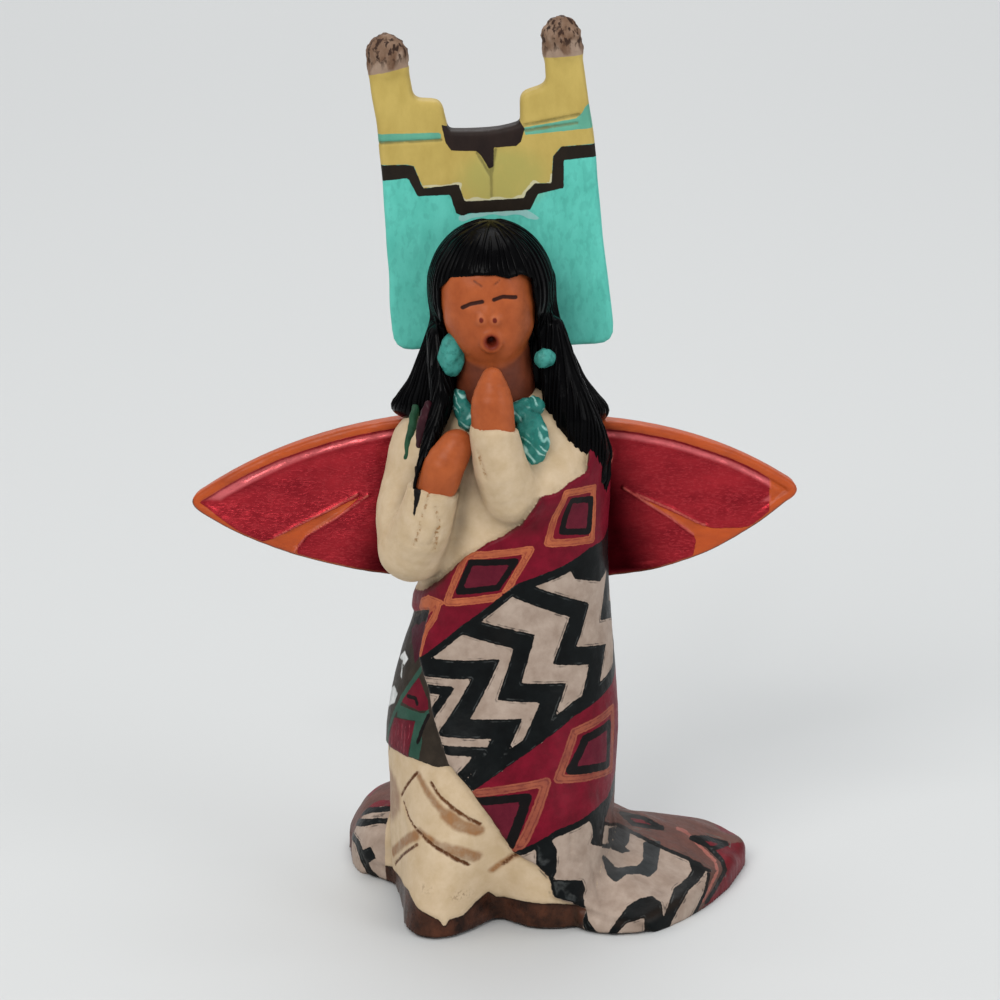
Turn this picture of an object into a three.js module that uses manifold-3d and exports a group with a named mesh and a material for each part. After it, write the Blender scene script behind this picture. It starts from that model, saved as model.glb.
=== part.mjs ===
// Kneeling angel figurine, one solid casting.
// Millimetres, +Z up, the figure looks towards -Y, the origin is on the flat underside
// below the middle of the body.

import * as THREE from 'three';
import { mergeVertices } from 'three/addons/utils/BufferGeometryUtils.js';
import Module from 'manifold-3d';

const wasm = await Module();
wasm.setup();

// Driving dimensions

const overallHeight = 130;
const neckHeight = 78;
const headTilt = THREE.MathUtils.degToRad(5.5);
const blanketThickness = 0.9;

// Body and skirt as level sections: height, then reach to the left, right, front and back
const bodySections = [
  [-1, 15.8, 16.0, 16.4, 18.4],
  [8, 16.3, 16.0, 17.4, 17.2],
  [17, 16.4, 16.2, 17.2, 14.8],
  [27, 16.4, 16.6, 15.0, 13.2],
  [37, 14.3, 16.0, 12.6, 12.4],
  [46, 11.8, 15.3, 11.6, 11.8],
  [55, 13.2, 15.3, 11.4, 11.6],
  [63, 15.2, 16.2, 11.4, 11.4],
  [69, 15.8, 15.8, 10.8, 10.6],
  [73.5, 12.8, 12.6, 9.4, 9.0],
  [78, 6.8, 6.0, 7.0, 6.0],
];
const bodySquareness = 2.15;
const bodySides = 38;
const bodyRings = 16;

// Edges of the blanket on the front, as straight lines across the body: height = at + rise * x
const upperEdge = { at: 58.2, rise: 0.92 };
const openingEdge = { at: 15.5, rise: -1.8 };
const backEdgeY = 2;
const blanketReach = 60;

// Swellings of the skirt over the knees and the crease between them: direction and spread
// in degrees from the viewer's right, how far they reach at the ground, where they die out
const knees = [
  { direction: -116, spread: 24, reach: 7.8, height: 34 },
  { direction: -56, spread: 24, reach: 4.0, height: 30 },
  { direction: -93, spread: 12, reach: -5.4, height: 24 },
];

// Shins under the skirt and the blanket that trails on the ground
const leftShin = { centre: [-9.4, 14, 0], half: [13.2, 13, 10.6], squareness: 3 };
const rightShin = { centre: [9, 13.2, 0], half: [12, 12.4, 9.2], squareness: 2.4 };
const trailOutline = [
  [-17, 1], [-21, 9], [-22.8, 18], [-20, 25.6], [-8, 27.6], [6, 26.6], [20, 24.2], [31, 19.4],
  [37.2, 12.4], [35.8, 3.4], [31.6, -6.8], [25.6, -15.6], [19.4, -20.2], [12, -18.4], [2, -6], [-8, -3],
];
const trailRim = 1.8;
const trailTop = 10.6;
const trailShrink = 0.6;
const trailSides = 42;

// Arms in cream sleeves, and the hands held together under the chin
const leftUpperArm = [[-11.4, -0.4, 69], [-13.4, -4.4, 60.5], [-12.8, -8.0, 54.6]];
const leftUpperArmRadius = [4.2, 4.9, 4.9];
const leftForearm = [[-12.8, -8.2, 54.8], [-11.2, -11.4, 60], [-9.3, -12.6, 66.2]];
const leftForearmRadius = [4.8, 4.2, 3.7];
const leftHand = [[-9.2, -12.7, 65.4], [-8.0, -13.2, 69], [-6.0, -12.8, 72.4]];
const leftHandRadius = [3.2, 3.4, 2.9];
const rightUpperArm = [[11, -3.6, 68.4], [7.2, -7.4, 65.4], [2.2, -10.4, 64.4]];
const rightUpperArmRadius = [4.6, 4.0, 4.1];
const rightForearm = [[1.6, -11.0, 64.6], [0.2, -13.0, 68.6], [-0.9, -14.0, 74]];
const rightForearmRadius = [4.4, 3.9, 3.3];
const rightHand = [[-0.9, -13.9, 73.4], [-1.1, -13.9, 78.4], [-1.1, -13.4, 82]];
const rightHandRadius = [3.1, 2.8, 1.3];

// Head, in a frame that stands on the neck and leans with it
const neckAxis = [[-0.4, -2.4, 72], [-1.2, -3.4, 86]];
const neckRadius = 4.9;
const face = { x: -0.4, y: -2.6, z: 12.6, halfWidth: 7.0, halfDepth: 8.2, halfHeight: 9.8, squareness: 2.5 };
const nose = { top: 15.4, bottom: 12.4, topRadius: 0.7, bottomRadius: 1.2, out: 0.5 };
const mouthHeight = 9.0;
const lips = { depth: 1.6, half: [1.9, 1.7, 2.0] };
const openMouth = { depth: -0.1, half: [0.9, 1.6, 1.1] };
const hairCap = { x: 0.1, y: -0.9, z: 14.6, halfWidth: 9.8, halfDepth: 10.6, halfHeight: 9.7 };
const hairFlutes = 22;
const fluteDepth = 0.35;
const faceWindow = { halfWidth: 6.6, top: 18.1, depth: 3.2 };

// Hair that falls over the shoulders and the back
const hairSections = [
  [58, 8.6, 8.6, -9, 13.4],
  [64, 10.2, 10.4, -6, 14.0],
  [70, 14.8, 15.4, 1.6, 14.2],
  [75, 16.2, 15.4, 8.0, 13.0],
  [80, 13.8, 12.6, 8.2, 11.4],
  [86, 12.4, 10.4, 7.2, 10.6],
  [93, 10.9, 8.8, 6.6, 9.8],
];
const hairSquareness = 2.2;
const leftLock = [[-9.6, -3.4, 87], [-9.7, -4.6, 80], [-9.4, -7.0, 74], [-11.0, -8.0, 68], [-12.4, -9.2, 62]];
const leftLockRadius = [1.6, 2.5, 2.3, 1.5, 0.7];
const rightLock = [[8.0, -3.2, 87], [9.2, -4.2, 80], [11.4, -5.4, 74], [13.6, -3.6, 68.5], [15.0, -1.6, 64.5]];
const rightLockRadius = [1.6, 2.8, 3.4, 3.2, 1.7];

// Stepped headdress, a flat board behind the head with two knobbed horns
const board = {
  centre: 1.1,
  front: 7.4,
  thickness: 3.8,
  bevel: 0.45,
  bottomLeft: 4,
  bottomRight: 2.2,
  halfWidthBottom: 16.5,
  halfWidthTop: 15.6,
  hornInner: 9.9,
  shoulder: 40.8,
  notchHalfWidth: 5.3,
  notchFloor: 36.1,
  hornTop: 46,
  bottomCorner: 3,
  stepCorner: 0.9,
};
const knob = { halfWidth: 3.05, halfDepth: 2.7, halfHeight: 3.5 };

// Wings, leaf-shaped slabs with a raised rim around a sunk field
const wing = {
  root: 11,
  front: 4.4,
  thickness: 3.4,
  rim: 1.4,
  sink: 0.5,
  bottomRoot: 47,
  tipLength: 1.6,
  tipHalf: 1.8,
  bevel: 0.4,
  bowShare: 0.55,
  sweep: THREE.MathUtils.degToRad(6),
};
const leftWing = { side: -1, topRoot: 71.8, reach: 46.0, tip: 57.6, topBow: 69.2, bottomBow: 47.4 };
const rightWing = { side: 1, topRoot: 71.4, reach: 44.3, tip: 59.6, topBow: 70.2, bottomBow: 46.2 };

// Turquoise lumps as centre and half sizes, and strands of beads as points along them
const leftEarring = [[-6.9, -6.6, 84.2], [1.9, 1.6, 2.9]];
const rightEarring = [[6.5, -6.3, 83.6], [1.6, 1.8, 1.6]];
const necklaceLeft = [[-6.0, -6.6, 77.4], [-4.6, -8.6, 74.6]];
const necklaceLeftRadius = [1.3, 1.5];
const necklaceRight = [[2.6, -9.0, 76.4], [5.2, -7.4, 77.4]];
const necklaceRightRadius = [1.7, 1.5];
const pendant = [[4.4, -10.2, 72.2], [2.6, 1.6, 4.2]];

// Half size of the blocks that cut, beyond the figure on every side
const beyond = 200;

// Makers of closed solids

function solidOf(geometry) {
  geometry.deleteAttribute('normal');
  geometry.deleteAttribute('uv');
  const merged = mergeVertices(geometry, 1e-4);
  return new wasm.Manifold(new wasm.Mesh({
    numProp: 3,
    vertProperties: new Float32Array(merged.attributes.position.array),
    triVerts: new Uint32Array(merged.index.array),
  }));
}

function reshaped(geometry, move) {
  const position = geometry.attributes.position;
  const point = new THREE.Vector3();
  for (let i = 0; i < position.count; i += 1) {
    point.fromBufferAttribute(position, i);
    const moved = move(point);
    position.setXYZ(i, moved.x, moved.y, moved.z);
  }
  return geometry;
}

// Smooth curve through evenly numbered rows of numbers, read at u from 0 to 1
function along(rows, u) {
  const last = rows.length - 1;
  const at = Math.min(u * last, last - 1e-9);
  const i = Math.floor(at);
  const t = at - i;
  const row = (k) => rows[Math.min(Math.max(k, 0), last)];
  const cubic = (a, b, c, d) => {
    const bend = 2 * a - 5 * b + 4 * c - d + t * (3 * (b - c) + d - a);
    return b + 0.5 * t * (c - a + t * bend);
  };
  if (typeof rows[0] === 'number') {
    return cubic(row(i - 1), row(i), row(i + 1), row(i + 2));
  }
  return rows[0].map((_, k) => cubic(row(i - 1)[k], row(i)[k], row(i + 1)[k], row(i + 2)[k]));
}

function power(value, exponent) {
  return Math.sign(value) * Math.abs(value) ** exponent;
}

// A standing form whose level sections are given as reaches from the axis
function standing(sections, sides, rings, squareness, swell) {
  return reshaped(new THREE.CylinderGeometry(1, 1, 1, sides, rings), (p) => {
    const [height, left, right, front, back] = along(sections, p.y + 0.5);
    const spoke = Math.hypot(p.x, p.z);
    const angle = Math.atan2(-p.z, p.x);
    const c = power(Math.cos(angle), 2 / squareness);
    const s = power(Math.sin(angle), 2 / squareness);
    const more = swell(angle, height);
    const x = spoke * c * ((c < 0 ? left : right) + more);
    const y = spoke * s * ((s < 0 ? front : back) + more);
    return new THREE.Vector3(x, y, height);
  });
}

// A rounded limb along a curve, with a radius at each of its points
function limb(points, radii, sides = 12, steps = 12) {
  const curve = new THREE.CatmullRomCurve3(points.map((p) => new THREE.Vector3(...p)));
  const endShare = 0.16;
  const depthAxis = new THREE.Vector3(0, 1, 0);
  return reshaped(new THREE.SphereGeometry(1, sides, steps), (p) => {
    const polar = Math.acos(THREE.MathUtils.clamp(p.y, -1, 1)) / Math.PI;
    const s = THREE.MathUtils.clamp((polar - endShare) / (1 - 2 * endShare), 0, 1);
    const before = Math.max(endShare - polar, 0) / endShare;
    const after = Math.max(polar - 1 + endShare, 0) / endShare;
    const turn = (after - before) * Math.PI / 2;
    const radius = along(radii, s);
    const tangent = curve.getTangent(s);
    const across = depthAxis.clone().cross(tangent).normalize();
    const outward = tangent.clone().cross(across);
    const spoke = Math.hypot(p.x, p.z) || 1;
    return curve.getPoint(s)
      .addScaledVector(tangent, radius * Math.sin(turn))
      .addScaledVector(across, radius * Math.cos(turn) * p.x / spoke)
      .addScaledVector(outward, radius * Math.cos(turn) * p.z / spoke);
  });
}

// A rounded lump; a squareness above 2 fills its corners out
function ellipsoid(centre, half, sides = 16, rings = 10, squareness = 2) {
  const sphere = new THREE.SphereGeometry(1, sides, rings).rotateX(Math.PI / 2);
  const lump = reshaped(sphere, (p) => {
    const sum = Math.abs(p.x) ** squareness + Math.abs(p.y) ** squareness + Math.abs(p.z) ** squareness;
    return p.multiplyScalar(sum ** (-1 / squareness));
  });
  return lump.scale(...half).translate(...centre);
}

function block(low, high) {
  const size = high.map((value, k) => value - low[k]);
  const middle = high.map((value, k) => (value + low[k]) / 2);
  return new THREE.BoxGeometry(...size).translate(...middle);
}

// An upright slab with the given outline in x and z, from y = front backwards
function slab(shape, front, thickness, bevel, curveSegments = 8) {
  return new THREE.ExtrudeGeometry(shape, {
    depth: thickness - 2 * bevel,
    bevelEnabled: bevel > 0,
    bevelThickness: bevel,
    bevelSize: bevel,
    bevelOffset: -bevel,
    bevelSegments: 1,
    curveSegments,
  }).rotateX(Math.PI / 2).translate(0, front + thickness - bevel, 0);
}

function joined(geometries) {
  return geometries.map(solidOf).reduce((whole, piece) => whole.add(piece));
}

// Body, blanket and what lies on the ground

function lineAcross(edge, x) {
  return edge.at + edge.rise * x;
}

function wedge(corners, front, back) {
  const shape = new THREE.Shape(corners.map(([x, z]) => new THREE.Vector2(x, z)));
  return slab(shape, front, back - front, 0);
}

function kneeSwell(angle, height) {
  return knees.reduce((sum, knee) => {
    const off = (THREE.MathUtils.radToDeg(angle) - knee.direction) / knee.spread;
    const fade = THREE.MathUtils.clamp(1 - height / knee.height, 0, 1);
    return sum + knee.reach * Math.exp(-off * off) * fade ** 1.5;
  }, 0);
}

function makeBlanket() {
  const low = bodySections[0][0];
  const wide = blanketReach;
  const meet = (upperEdge.at - openingEdge.at) / (openingEdge.rise - upperEdge.rise);
  const top = [wide, lineAcross(upperEdge, wide)];
  const frontPart = wedge([
    [meet, lineAcross(upperEdge, meet)],
    [(low - openingEdge.at) / openingEdge.rise, low],
    [wide, low],
    top,
  ], -beyond, backEdgeY + blanketThickness);
  const backPart = wedge([
    [-wide, lineAcross(upperEdge, -wide)],
    [-wide, low],
    [wide, low],
    top,
  ], backEdgeY, beyond);
  const swell = (angle, height) => blanketThickness + kneeSwell(angle, height);
  const cloth = solidOf(standing(bodySections, bodySides, bodyRings, bodySquareness, swell));
  return cloth.intersect(joined([frontPart, backPart]));
}

function makeTrail() {
  const outline = new THREE.CatmullRomCurve3(trailOutline.map(([x, y]) => new THREE.Vector3(x, y, 0)), true);
  const low = bodySections[0][0];
  const rimShare = 0.25;
  return reshaped(new THREE.CylinderGeometry(1, 1, 1, trailSides, 5), (p) => {
    const level = p.y + 0.5;
    const turn = (Math.atan2(-p.z, -p.x) / (2 * Math.PI) + 1) % 1;
    const edge = outline.getPoint(turn);
    const upRim = Math.min(level / rimShare, 1);
    const inward = Math.max(level - rimShare, 0) / (1 - rimShare);
    const height = low + (trailRim - low) * upRim + (trailTop - trailRim) * inward;
    const reach = Math.hypot(p.x, p.z) * (1 - trailShrink * inward);
    return new THREE.Vector3(edge.x * reach, edge.y * reach, height);
  });
}

function makeBody() {
  return joined([
    standing(bodySections, bodySides, bodyRings, bodySquareness, kneeSwell),
    ...[leftShin, rightShin].map((shin) => ellipsoid(shin.centre, shin.half, 20, 12, shin.squareness)),
    makeTrail(),
  ]).add(makeBlanket());
}

// Arms and hands

function makeArms() {
  return joined([
    limb(leftUpperArm, leftUpperArmRadius),
    limb(leftForearm, leftForearmRadius),
    limb(leftHand, leftHandRadius),
    limb(rightUpperArm, rightUpperArmRadius),
    limb(rightForearm, rightForearmRadius),
    limb(rightHand, rightHandRadius),
  ]);
}

// Head, hair and headdress

const headFrame = new THREE.Matrix4().makeTranslation(0, 0, neckHeight)
  .multiply(new THREE.Matrix4().makeRotationY(-headTilt));

function onHead(geometry) {
  return geometry.applyMatrix4(headFrame);
}

function makeFace() {
  const centre = [face.x, face.y, face.z];
  const half = [face.halfWidth, face.halfDepth, face.halfHeight];
  const head = solidOf(onHead(ellipsoid(centre, half, 20, 14, face.squareness)));
  const front = face.y - face.halfDepth;
  const ridge = limb([
    [face.x, front + nose.topRadius, nose.top],
    [face.x, front + nose.bottomRadius - 2 * nose.out, nose.bottom],
  ], [nose.topRadius, nose.bottomRadius], 8, 8);
  const rim = ellipsoid([face.x, front + lips.depth, mouthHeight], lips.half, 12, 8);
  const hollow = ellipsoid([face.x, front + openMouth.depth, mouthHeight], openMouth.half, 8, 6);
  return head.add(joined([ridge, rim].map(onHead))).subtract(solidOf(onHead(hollow)));
}

function fluted(angle) {
  return fluteDepth * (Math.cos(angle * hairFlutes) - 1) / 2;
}

function makeHair() {
  const cap = reshaped(new THREE.SphereGeometry(1, hairFlutes * 3, 10).rotateX(Math.PI / 2), (p) => {
    const slope = Math.hypot(p.x, p.y);
    const groove = 1 + slope * fluted(Math.atan2(p.y, p.x)) / hairCap.halfWidth;
    return new THREE.Vector3(
      hairCap.x + p.x * hairCap.halfWidth * groove,
      hairCap.y + p.y * hairCap.halfDepth * groove,
      hairCap.z + p.z * hairCap.halfHeight,
    );
  });
  const frontOpening = (top) => block(
    [face.x - faceWindow.halfWidth, -beyond, -beyond],
    [face.x + faceWindow.halfWidth, -faceWindow.depth, top],
  );
  const crown = solidOf(onHead(cap)).subtract(solidOf(onHead(frontOpening(faceWindow.top))));
  const fall = standing(hairSections, hairFlutes * 2, 12, hairSquareness, fluted);
  return crown.add(solidOf(fall).subtract(solidOf(frontOpening(beyond)))).add(joined([
    limb(leftLock, leftLockRadius, 10, 12),
    limb(rightLock, rightLockRadius, 10, 12),
  ]));
}

// A closed outline with each corner rounded off by its own radius
function rounded(corners) {
  const shape = new THREE.Shape();
  const count = corners.length;
  corners.forEach(([x, z, radius], i) => {
    const here = new THREE.Vector2(x, z);
    const ends = [corners[(i + count - 1) % count], corners[(i + 1) % count]].map((other) => {
      const towards = new THREE.Vector2(other[0], other[1]).sub(here);
      return here.clone().addScaledVector(towards.normalize(), radius);
    });
    if (i === 0) {
      shape.moveTo(ends[0].x, ends[0].y);
    } else {
      shape.lineTo(ends[0].x, ends[0].y);
    }
    shape.quadraticCurveTo(here.x, here.y, ends[1].x, ends[1].y);
  });
  shape.closePath();
  return shape;
}

function boardOutline() {
  const steps = [
    [board.halfWidthTop, board.hornTop],
    [board.hornInner, board.hornTop],
    [board.hornInner, board.shoulder],
    [board.notchHalfWidth, board.shoulder],
    [board.notchHalfWidth, board.notchFloor],
  ];
  const right = steps.map(([half, height]) => [board.centre + half, height, board.stepCorner]);
  const left = steps.map(([half, height]) => [board.centre - half, height, board.stepCorner]).reverse();
  return rounded([
    [board.centre - board.halfWidthBottom, board.bottomLeft, board.bottomCorner],
    [board.centre + board.halfWidthBottom, board.bottomRight, board.bottomCorner],
    ...right,
    ...left,
  ]);
}

function makeHeaddress() {
  const plate = slab(boardOutline(), board.front, board.thickness, board.bevel, 3);
  const hornMiddle = (board.halfWidthTop + board.hornInner) / 2;
  const middleY = board.front + board.thickness / 2;
  const highX = board.centre + hornMiddle;
  const knobTop = (overallHeight - neckHeight - highX * Math.sin(headTilt)) / Math.cos(headTilt);
  const knobs = [-1, 1].map((side) => ellipsoid(
    [board.centre + side * hornMiddle, middleY, knobTop - knob.halfHeight],
    [knob.halfWidth, knob.halfDepth, knob.halfHeight],
    14,
    10,
  ));
  return joined([plate, ...knobs].map(onHead));
}

// Wings

function leaf(form, inset) {
  const at = (distance, height) => [form.side * distance, height];
  const bow = wing.root + wing.bowShare * (form.reach - wing.root);
  const end = form.reach - wing.tipLength * inset;
  const [low, high] = [form.tip - wing.tipHalf, form.tip + wing.tipHalf];
  const shape = new THREE.Shape();
  shape.moveTo(...at(wing.root, wing.bottomRoot + inset));
  shape.lineTo(...at(wing.root, form.topRoot - inset));
  shape.quadraticCurveTo(...at(bow, form.topBow - inset), ...at(end - wing.tipLength, high));
  shape.quadraticCurveTo(...at(end, form.tip + wing.tipHalf / 2), ...at(end, form.tip));
  shape.quadraticCurveTo(...at(end, form.tip - wing.tipHalf / 2), ...at(end - wing.tipLength, low));
  shape.quadraticCurveTo(...at(bow, form.bottomBow + inset), ...at(wing.root, wing.bottomRoot + inset));
  return shape;
}

function makeWing(form) {
  const body = solidOf(slab(leaf(form, 0), 0, wing.thickness, wing.bevel, 7));
  const field = solidOf(slab(leaf(form, wing.rim), -wing.sink, 2 * wing.sink, 0, 7));
  const swept = new THREE.Matrix4().makeTranslation(form.side * wing.root, wing.front, 0)
    .multiply(new THREE.Matrix4().makeRotationZ(form.side * wing.sweep))
    .multiply(new THREE.Matrix4().makeTranslation(-form.side * wing.root, 0, 0));
  return body.subtract(field).transform(swept.elements);
}

// Turquoise beads and pendant

function makeTurquoise() {
  return joined([
    ellipsoid(...leftEarring, 10, 8),
    ellipsoid(...rightEarring, 10, 8),
    limb(necklaceLeft, necklaceLeftRadius, 8, 8),
    limb(necklaceRight, necklaceRightRadius, 8, 8),
    ellipsoid(...pendant, 12, 8),
  ]);
}

// The casting, cut flat underneath

const aboveGround = solidOf(block([-beyond, -beyond, 0], [beyond, beyond, beyond]));
const casting = makeBody()
  .add(makeArms())
  .add(solidOf(limb(neckAxis, [neckRadius, neckRadius], 16, 8)))
  .add(makeFace())
  .add(makeHair())
  .add(makeHeaddress())
  .add(makeWing(leftWing))
  .add(makeWing(rightWing))
  .add(makeTurquoise())
  .intersect(aboveGround);

// The cut surface as one mesh, without the slivers that are shorter than the weld

const weld = 2e-3;
const cut = casting.getMesh();
const raw = new THREE.BufferGeometry();
raw.setAttribute('position', new THREE.BufferAttribute(new Float32Array(cut.vertProperties), 3));
raw.setIndex(new THREE.BufferAttribute(new Uint32Array(cut.triVerts), 1));
const surface = mergeVertices(raw, weld);
const corners = surface.index.array;
const kept = [];
for (let i = 0; i < corners.length; i += 3) {
  const [a, b, c] = corners.slice(i, i + 3);
  if (a !== b && b !== c && c !== a) {
    kept.push(a, b, c);
  }
}
surface.setIndex(kept);

const figurine = new THREE.Mesh(
  surface,
  new THREE.MeshStandardMaterial({ color: 0xb8a184, roughness: 0.55, metalness: 0 }),
);
figurine.name = 'angel_figurine';

const angel = new THREE.Group();
angel.add(figurine);

export default angel;
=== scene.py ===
# %% [markdown]
# # A kneeling angel, cast in resin and painted by hand
#
# The real object is one small casting. Nothing on it is cloth, hair or feather: every fold, lock
# and wing was sculpted once in soft clay, cast in resin, and then painted with a small brush.
#
# Clay has no edges to follow, so polygon modelling is an awkward way to make it. This lesson
# describes each form as a distance field instead: a function that says how far a point is from
# the surface. Fields melt into each other as clay does, and carving is only a subtraction. The
# skin of each field becomes an ordinary mesh, and the paint is stored on it as distances to the
# edges of the brush strokes, so the edges stay crisp in the shader.

# %% The frame
import math

import bpy
import numpy as np
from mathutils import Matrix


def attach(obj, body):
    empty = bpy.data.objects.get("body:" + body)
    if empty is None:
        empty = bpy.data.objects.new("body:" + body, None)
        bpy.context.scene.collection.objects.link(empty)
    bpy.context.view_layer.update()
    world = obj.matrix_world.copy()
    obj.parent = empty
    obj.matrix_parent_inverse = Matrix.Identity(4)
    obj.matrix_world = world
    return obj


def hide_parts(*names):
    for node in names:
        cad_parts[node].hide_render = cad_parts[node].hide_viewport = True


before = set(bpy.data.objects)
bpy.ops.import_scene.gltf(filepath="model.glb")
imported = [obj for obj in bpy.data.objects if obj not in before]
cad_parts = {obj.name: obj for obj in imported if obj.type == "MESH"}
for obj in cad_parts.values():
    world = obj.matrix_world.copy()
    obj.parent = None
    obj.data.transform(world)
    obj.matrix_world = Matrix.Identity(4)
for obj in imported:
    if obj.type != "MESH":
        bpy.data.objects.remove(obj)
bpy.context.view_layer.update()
cad_node = "angel_figurine"
mm = 0.001

# %% [markdown]
# ## Camera and light
#
# The photograph looks down on the figure a little with a long lens, so upright lines stay upright.
# One large soft light from the upper left models the face, and a small one beside it gives the
# paint its highlights. A weaker one on the right keeps the shadows open, and two more light the
# top of the figure and the pale floor that fills the rest of the frame.

# %% Camera
camera_elevation = math.radians(15.8)
camera_distance = 0.585
camera_aim_height = 0.0603
camera_data = bpy.data.cameras.new("view_camera")
camera_data.sensor_width = 36.0
camera_data.lens = 144.0
camera = bpy.data.objects.new("view_camera", camera_data)
camera.location = (
    0.0,
    -camera_distance * math.cos(camera_elevation),
    camera_aim_height + camera_distance * math.sin(camera_elevation),
)
camera.rotation_euler = (math.pi / 2 - camera_elevation, 0.0, 0.0)
bpy.context.collection.objects.link(camera)
bpy.context.scene.camera = camera
bpy.context.scene.view_settings.view_transform = "Standard"
print("camera at", [round(value, 3) for value in camera.location])

# %% [markdown]
# ## Shader trees in short
#
# Every finish below is a tree of shader nodes. Clicking them together by hand is fine for one
# material, but the paint here has dozens of layers, so a few small functions add and link the
# nodes. Colours are given as a painter would read them off, from 0 to 255.

# %% Small helpers for shader trees
def linear(red, green, blue):
    """A colour as a painter's eye gives it, 0 to 255, in the linear numbers that shaders take."""
    channels = [channel / 255 for channel in (red, green, blue)]
    toe = 0.04045
    curve = [c / 12.92 if c <= toe else ((c + 0.055) / 1.055) ** 2.4 for c in channels]
    return (*curve, 1.0)


def add_node(tree, kind, inputs=(), **settings):
    """Add a node, set its options, and link or set its inputs by position or by name."""
    node = tree.nodes.new(kind)
    for name, value in settings.items():
        setattr(node, name, value)
    pairs = inputs.items() if isinstance(inputs, dict) else enumerate(inputs)
    for key, value in pairs:
        if isinstance(value, bpy.types.NodeSocket):
            tree.links.new(value, node.inputs[key])
        elif value is not None:
            node.inputs[key].default_value = value
    return node


def math_node(tree, operation, *values):
    return add_node(tree, "ShaderNodeMath", values, operation=operation).outputs[0]


def mix_colour(tree, share, under, over):
    mixer = add_node(tree, "ShaderNodeMix", data_type="RGBA")
    for key, value in ((0, share), (6, under), (7, over)):
        if isinstance(value, bpy.types.NodeSocket):
            tree.links.new(value, mixer.inputs[key])
        else:
            mixer.inputs[key].default_value = value
    return mixer.outputs[2]


def mix_number(tree, share, under, over):
    mixer = add_node(tree, "ShaderNodeMix", (share, None, under, over), data_type="FLOAT")
    return mixer.outputs[0]


def noise_node(tree, place, size, detail=3.0, roughness=0.55):
    """Cloudy noise whose blotches are about `size` millimetres across."""
    inputs = {"Vector": place, "Scale": 1 / (size * mm), "Detail": detail, "Roughness": roughness}
    return add_node(tree, "ShaderNodeTexNoise", inputs).outputs[0]


# %% [markdown]
# ## A pale floor and soft lamps
#
# Product photographs of small figures are taken on a plain board by a window. One large square
# with a rough pale material does for the board. The lamps are discs, and most of them are wide,
# because a wide lamp makes soft shadows. Each is turned to the figure or to the floor behind it.

# %% Floor and backdrop
floor_half = 3.0
floor_mesh = bpy.data.meshes.new("floor")
floor_corners = [(-floor_half, -floor_half, 0), (floor_half, -floor_half, 0), (floor_half, floor_half, 0),
                 (-floor_half, floor_half, 0)]
floor_mesh.from_pydata(floor_corners, [], [(0, 1, 2, 3)])
floor = bpy.data.objects.new("floor", floor_mesh)
bpy.context.collection.objects.link(floor)
floor_material = bpy.data.materials.new("pale_floor")
floor_material.use_nodes = True
floor_shader = floor_material.node_tree.nodes["Principled BSDF"]
floor_shader.inputs["Base Color"].default_value = linear(206, 208, 208)
floor_shader.inputs["Roughness"].default_value = 0.75
floor_mesh.materials.append(floor_material)


# %% Soft lights
def soft_light(name, place, aim, size, watts, tint=(1.0, 1.0, 1.0)):
    lamp = bpy.data.lights.new(name, "AREA")
    lamp.shape = "DISK"
    lamp.size = size
    lamp.energy = watts
    lamp.color = tint
    holder = bpy.data.objects.new(name, lamp)
    holder.location = place
    away = holder.location - type(holder.location)(aim)
    holder.rotation_euler = away.to_track_quat("Z", "Y").to_euler()
    bpy.context.collection.objects.link(holder)


figure_middle = (0.0, 0.0, 0.065)
soft_light("key", (-0.45, -0.75, 0.75), figure_middle, 0.60, 5.4, (1.0, 0.98, 0.95))
soft_light("window", (-0.22, -0.90, 0.80), figure_middle, 0.12, 0.7)
soft_light("fill", (0.75, -0.50, 0.40), figure_middle, 0.60, 2.2, (0.98, 0.99, 1.0))
soft_light("top", (0.05, 0.25, 0.95), figure_middle, 0.70, 3.0)
soft_light("far_floor", (0.0, 1.5, 1.1), (0.0, 1.5, 0.0), 1.20, 9.2)
world = bpy.data.worlds.new("studio")
world.use_nodes = True
world.node_tree.nodes["Background"].inputs["Color"].default_value = (0.97, 0.98, 1.0, 1.0)
world.node_tree.nodes["Background"].inputs["Strength"].default_value = 0.47
bpy.context.scene.world = world

# %% [markdown]
# ## Distance fields
#
# A field takes many points at once, as rows of x, y and z in millimetres, and gives one number
# for each: negative inside, positive outside, zero on the skin. `smooth_min` melts two forms
# together with a fillet, as a thumb does with clay, and `smooth_max` cuts with a rounded edge.


# %% Joining, cutting and shaping
def smooth_min(a, b, soft):
    blend = np.clip(0.5 + 0.5 * (b - a) / soft, 0, 1)
    return b + (a - b) * blend - soft * blend * (1 - blend)


def smooth_max(a, b, soft):
    return -smooth_min(-a, -b, soft)


def fade(low, high, value):
    """0 below `low`, 1 above `high`, and a soft S between them."""
    t = np.clip((value - low) / (high - low), 0, 1)
    return t * t * (3 - 2 * t)


def along(rows, u):
    """A smooth curve through evenly numbered rows, read at every u from 0 to 1."""
    rows = np.asarray(rows, dtype=float)
    last = len(rows) - 1
    place = np.minimum(np.asarray(u) * last, last - 1e-9)
    i = np.floor(place).astype(int)
    t = place - i
    if rows.ndim > 1:
        t = t[:, None]
    a, b, c, d = (rows[np.clip(i + k, 0, last)] for k in (-1, 0, 1, 2))
    return b + 0.5 * t * (c - a + t * (2 * a - 5 * b + 4 * c - d + t * (3 * (b - c) + d - a)))


def ripple(points, size, seed, waves=7):
    """Smooth hand-made unevenness between about -1 and 1, with waves about `size` long."""
    random = np.random.default_rng(seed)
    total = 0
    for _ in range(waves):
        direction = random.normal(size=3)
        direction *= random.uniform(0.7, 1.4) * 2 * math.pi / size / np.linalg.norm(direction)
        total = total + np.sin(points @ direction + random.uniform(0, 2 * math.pi))
    return total / math.sqrt(waves)


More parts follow.
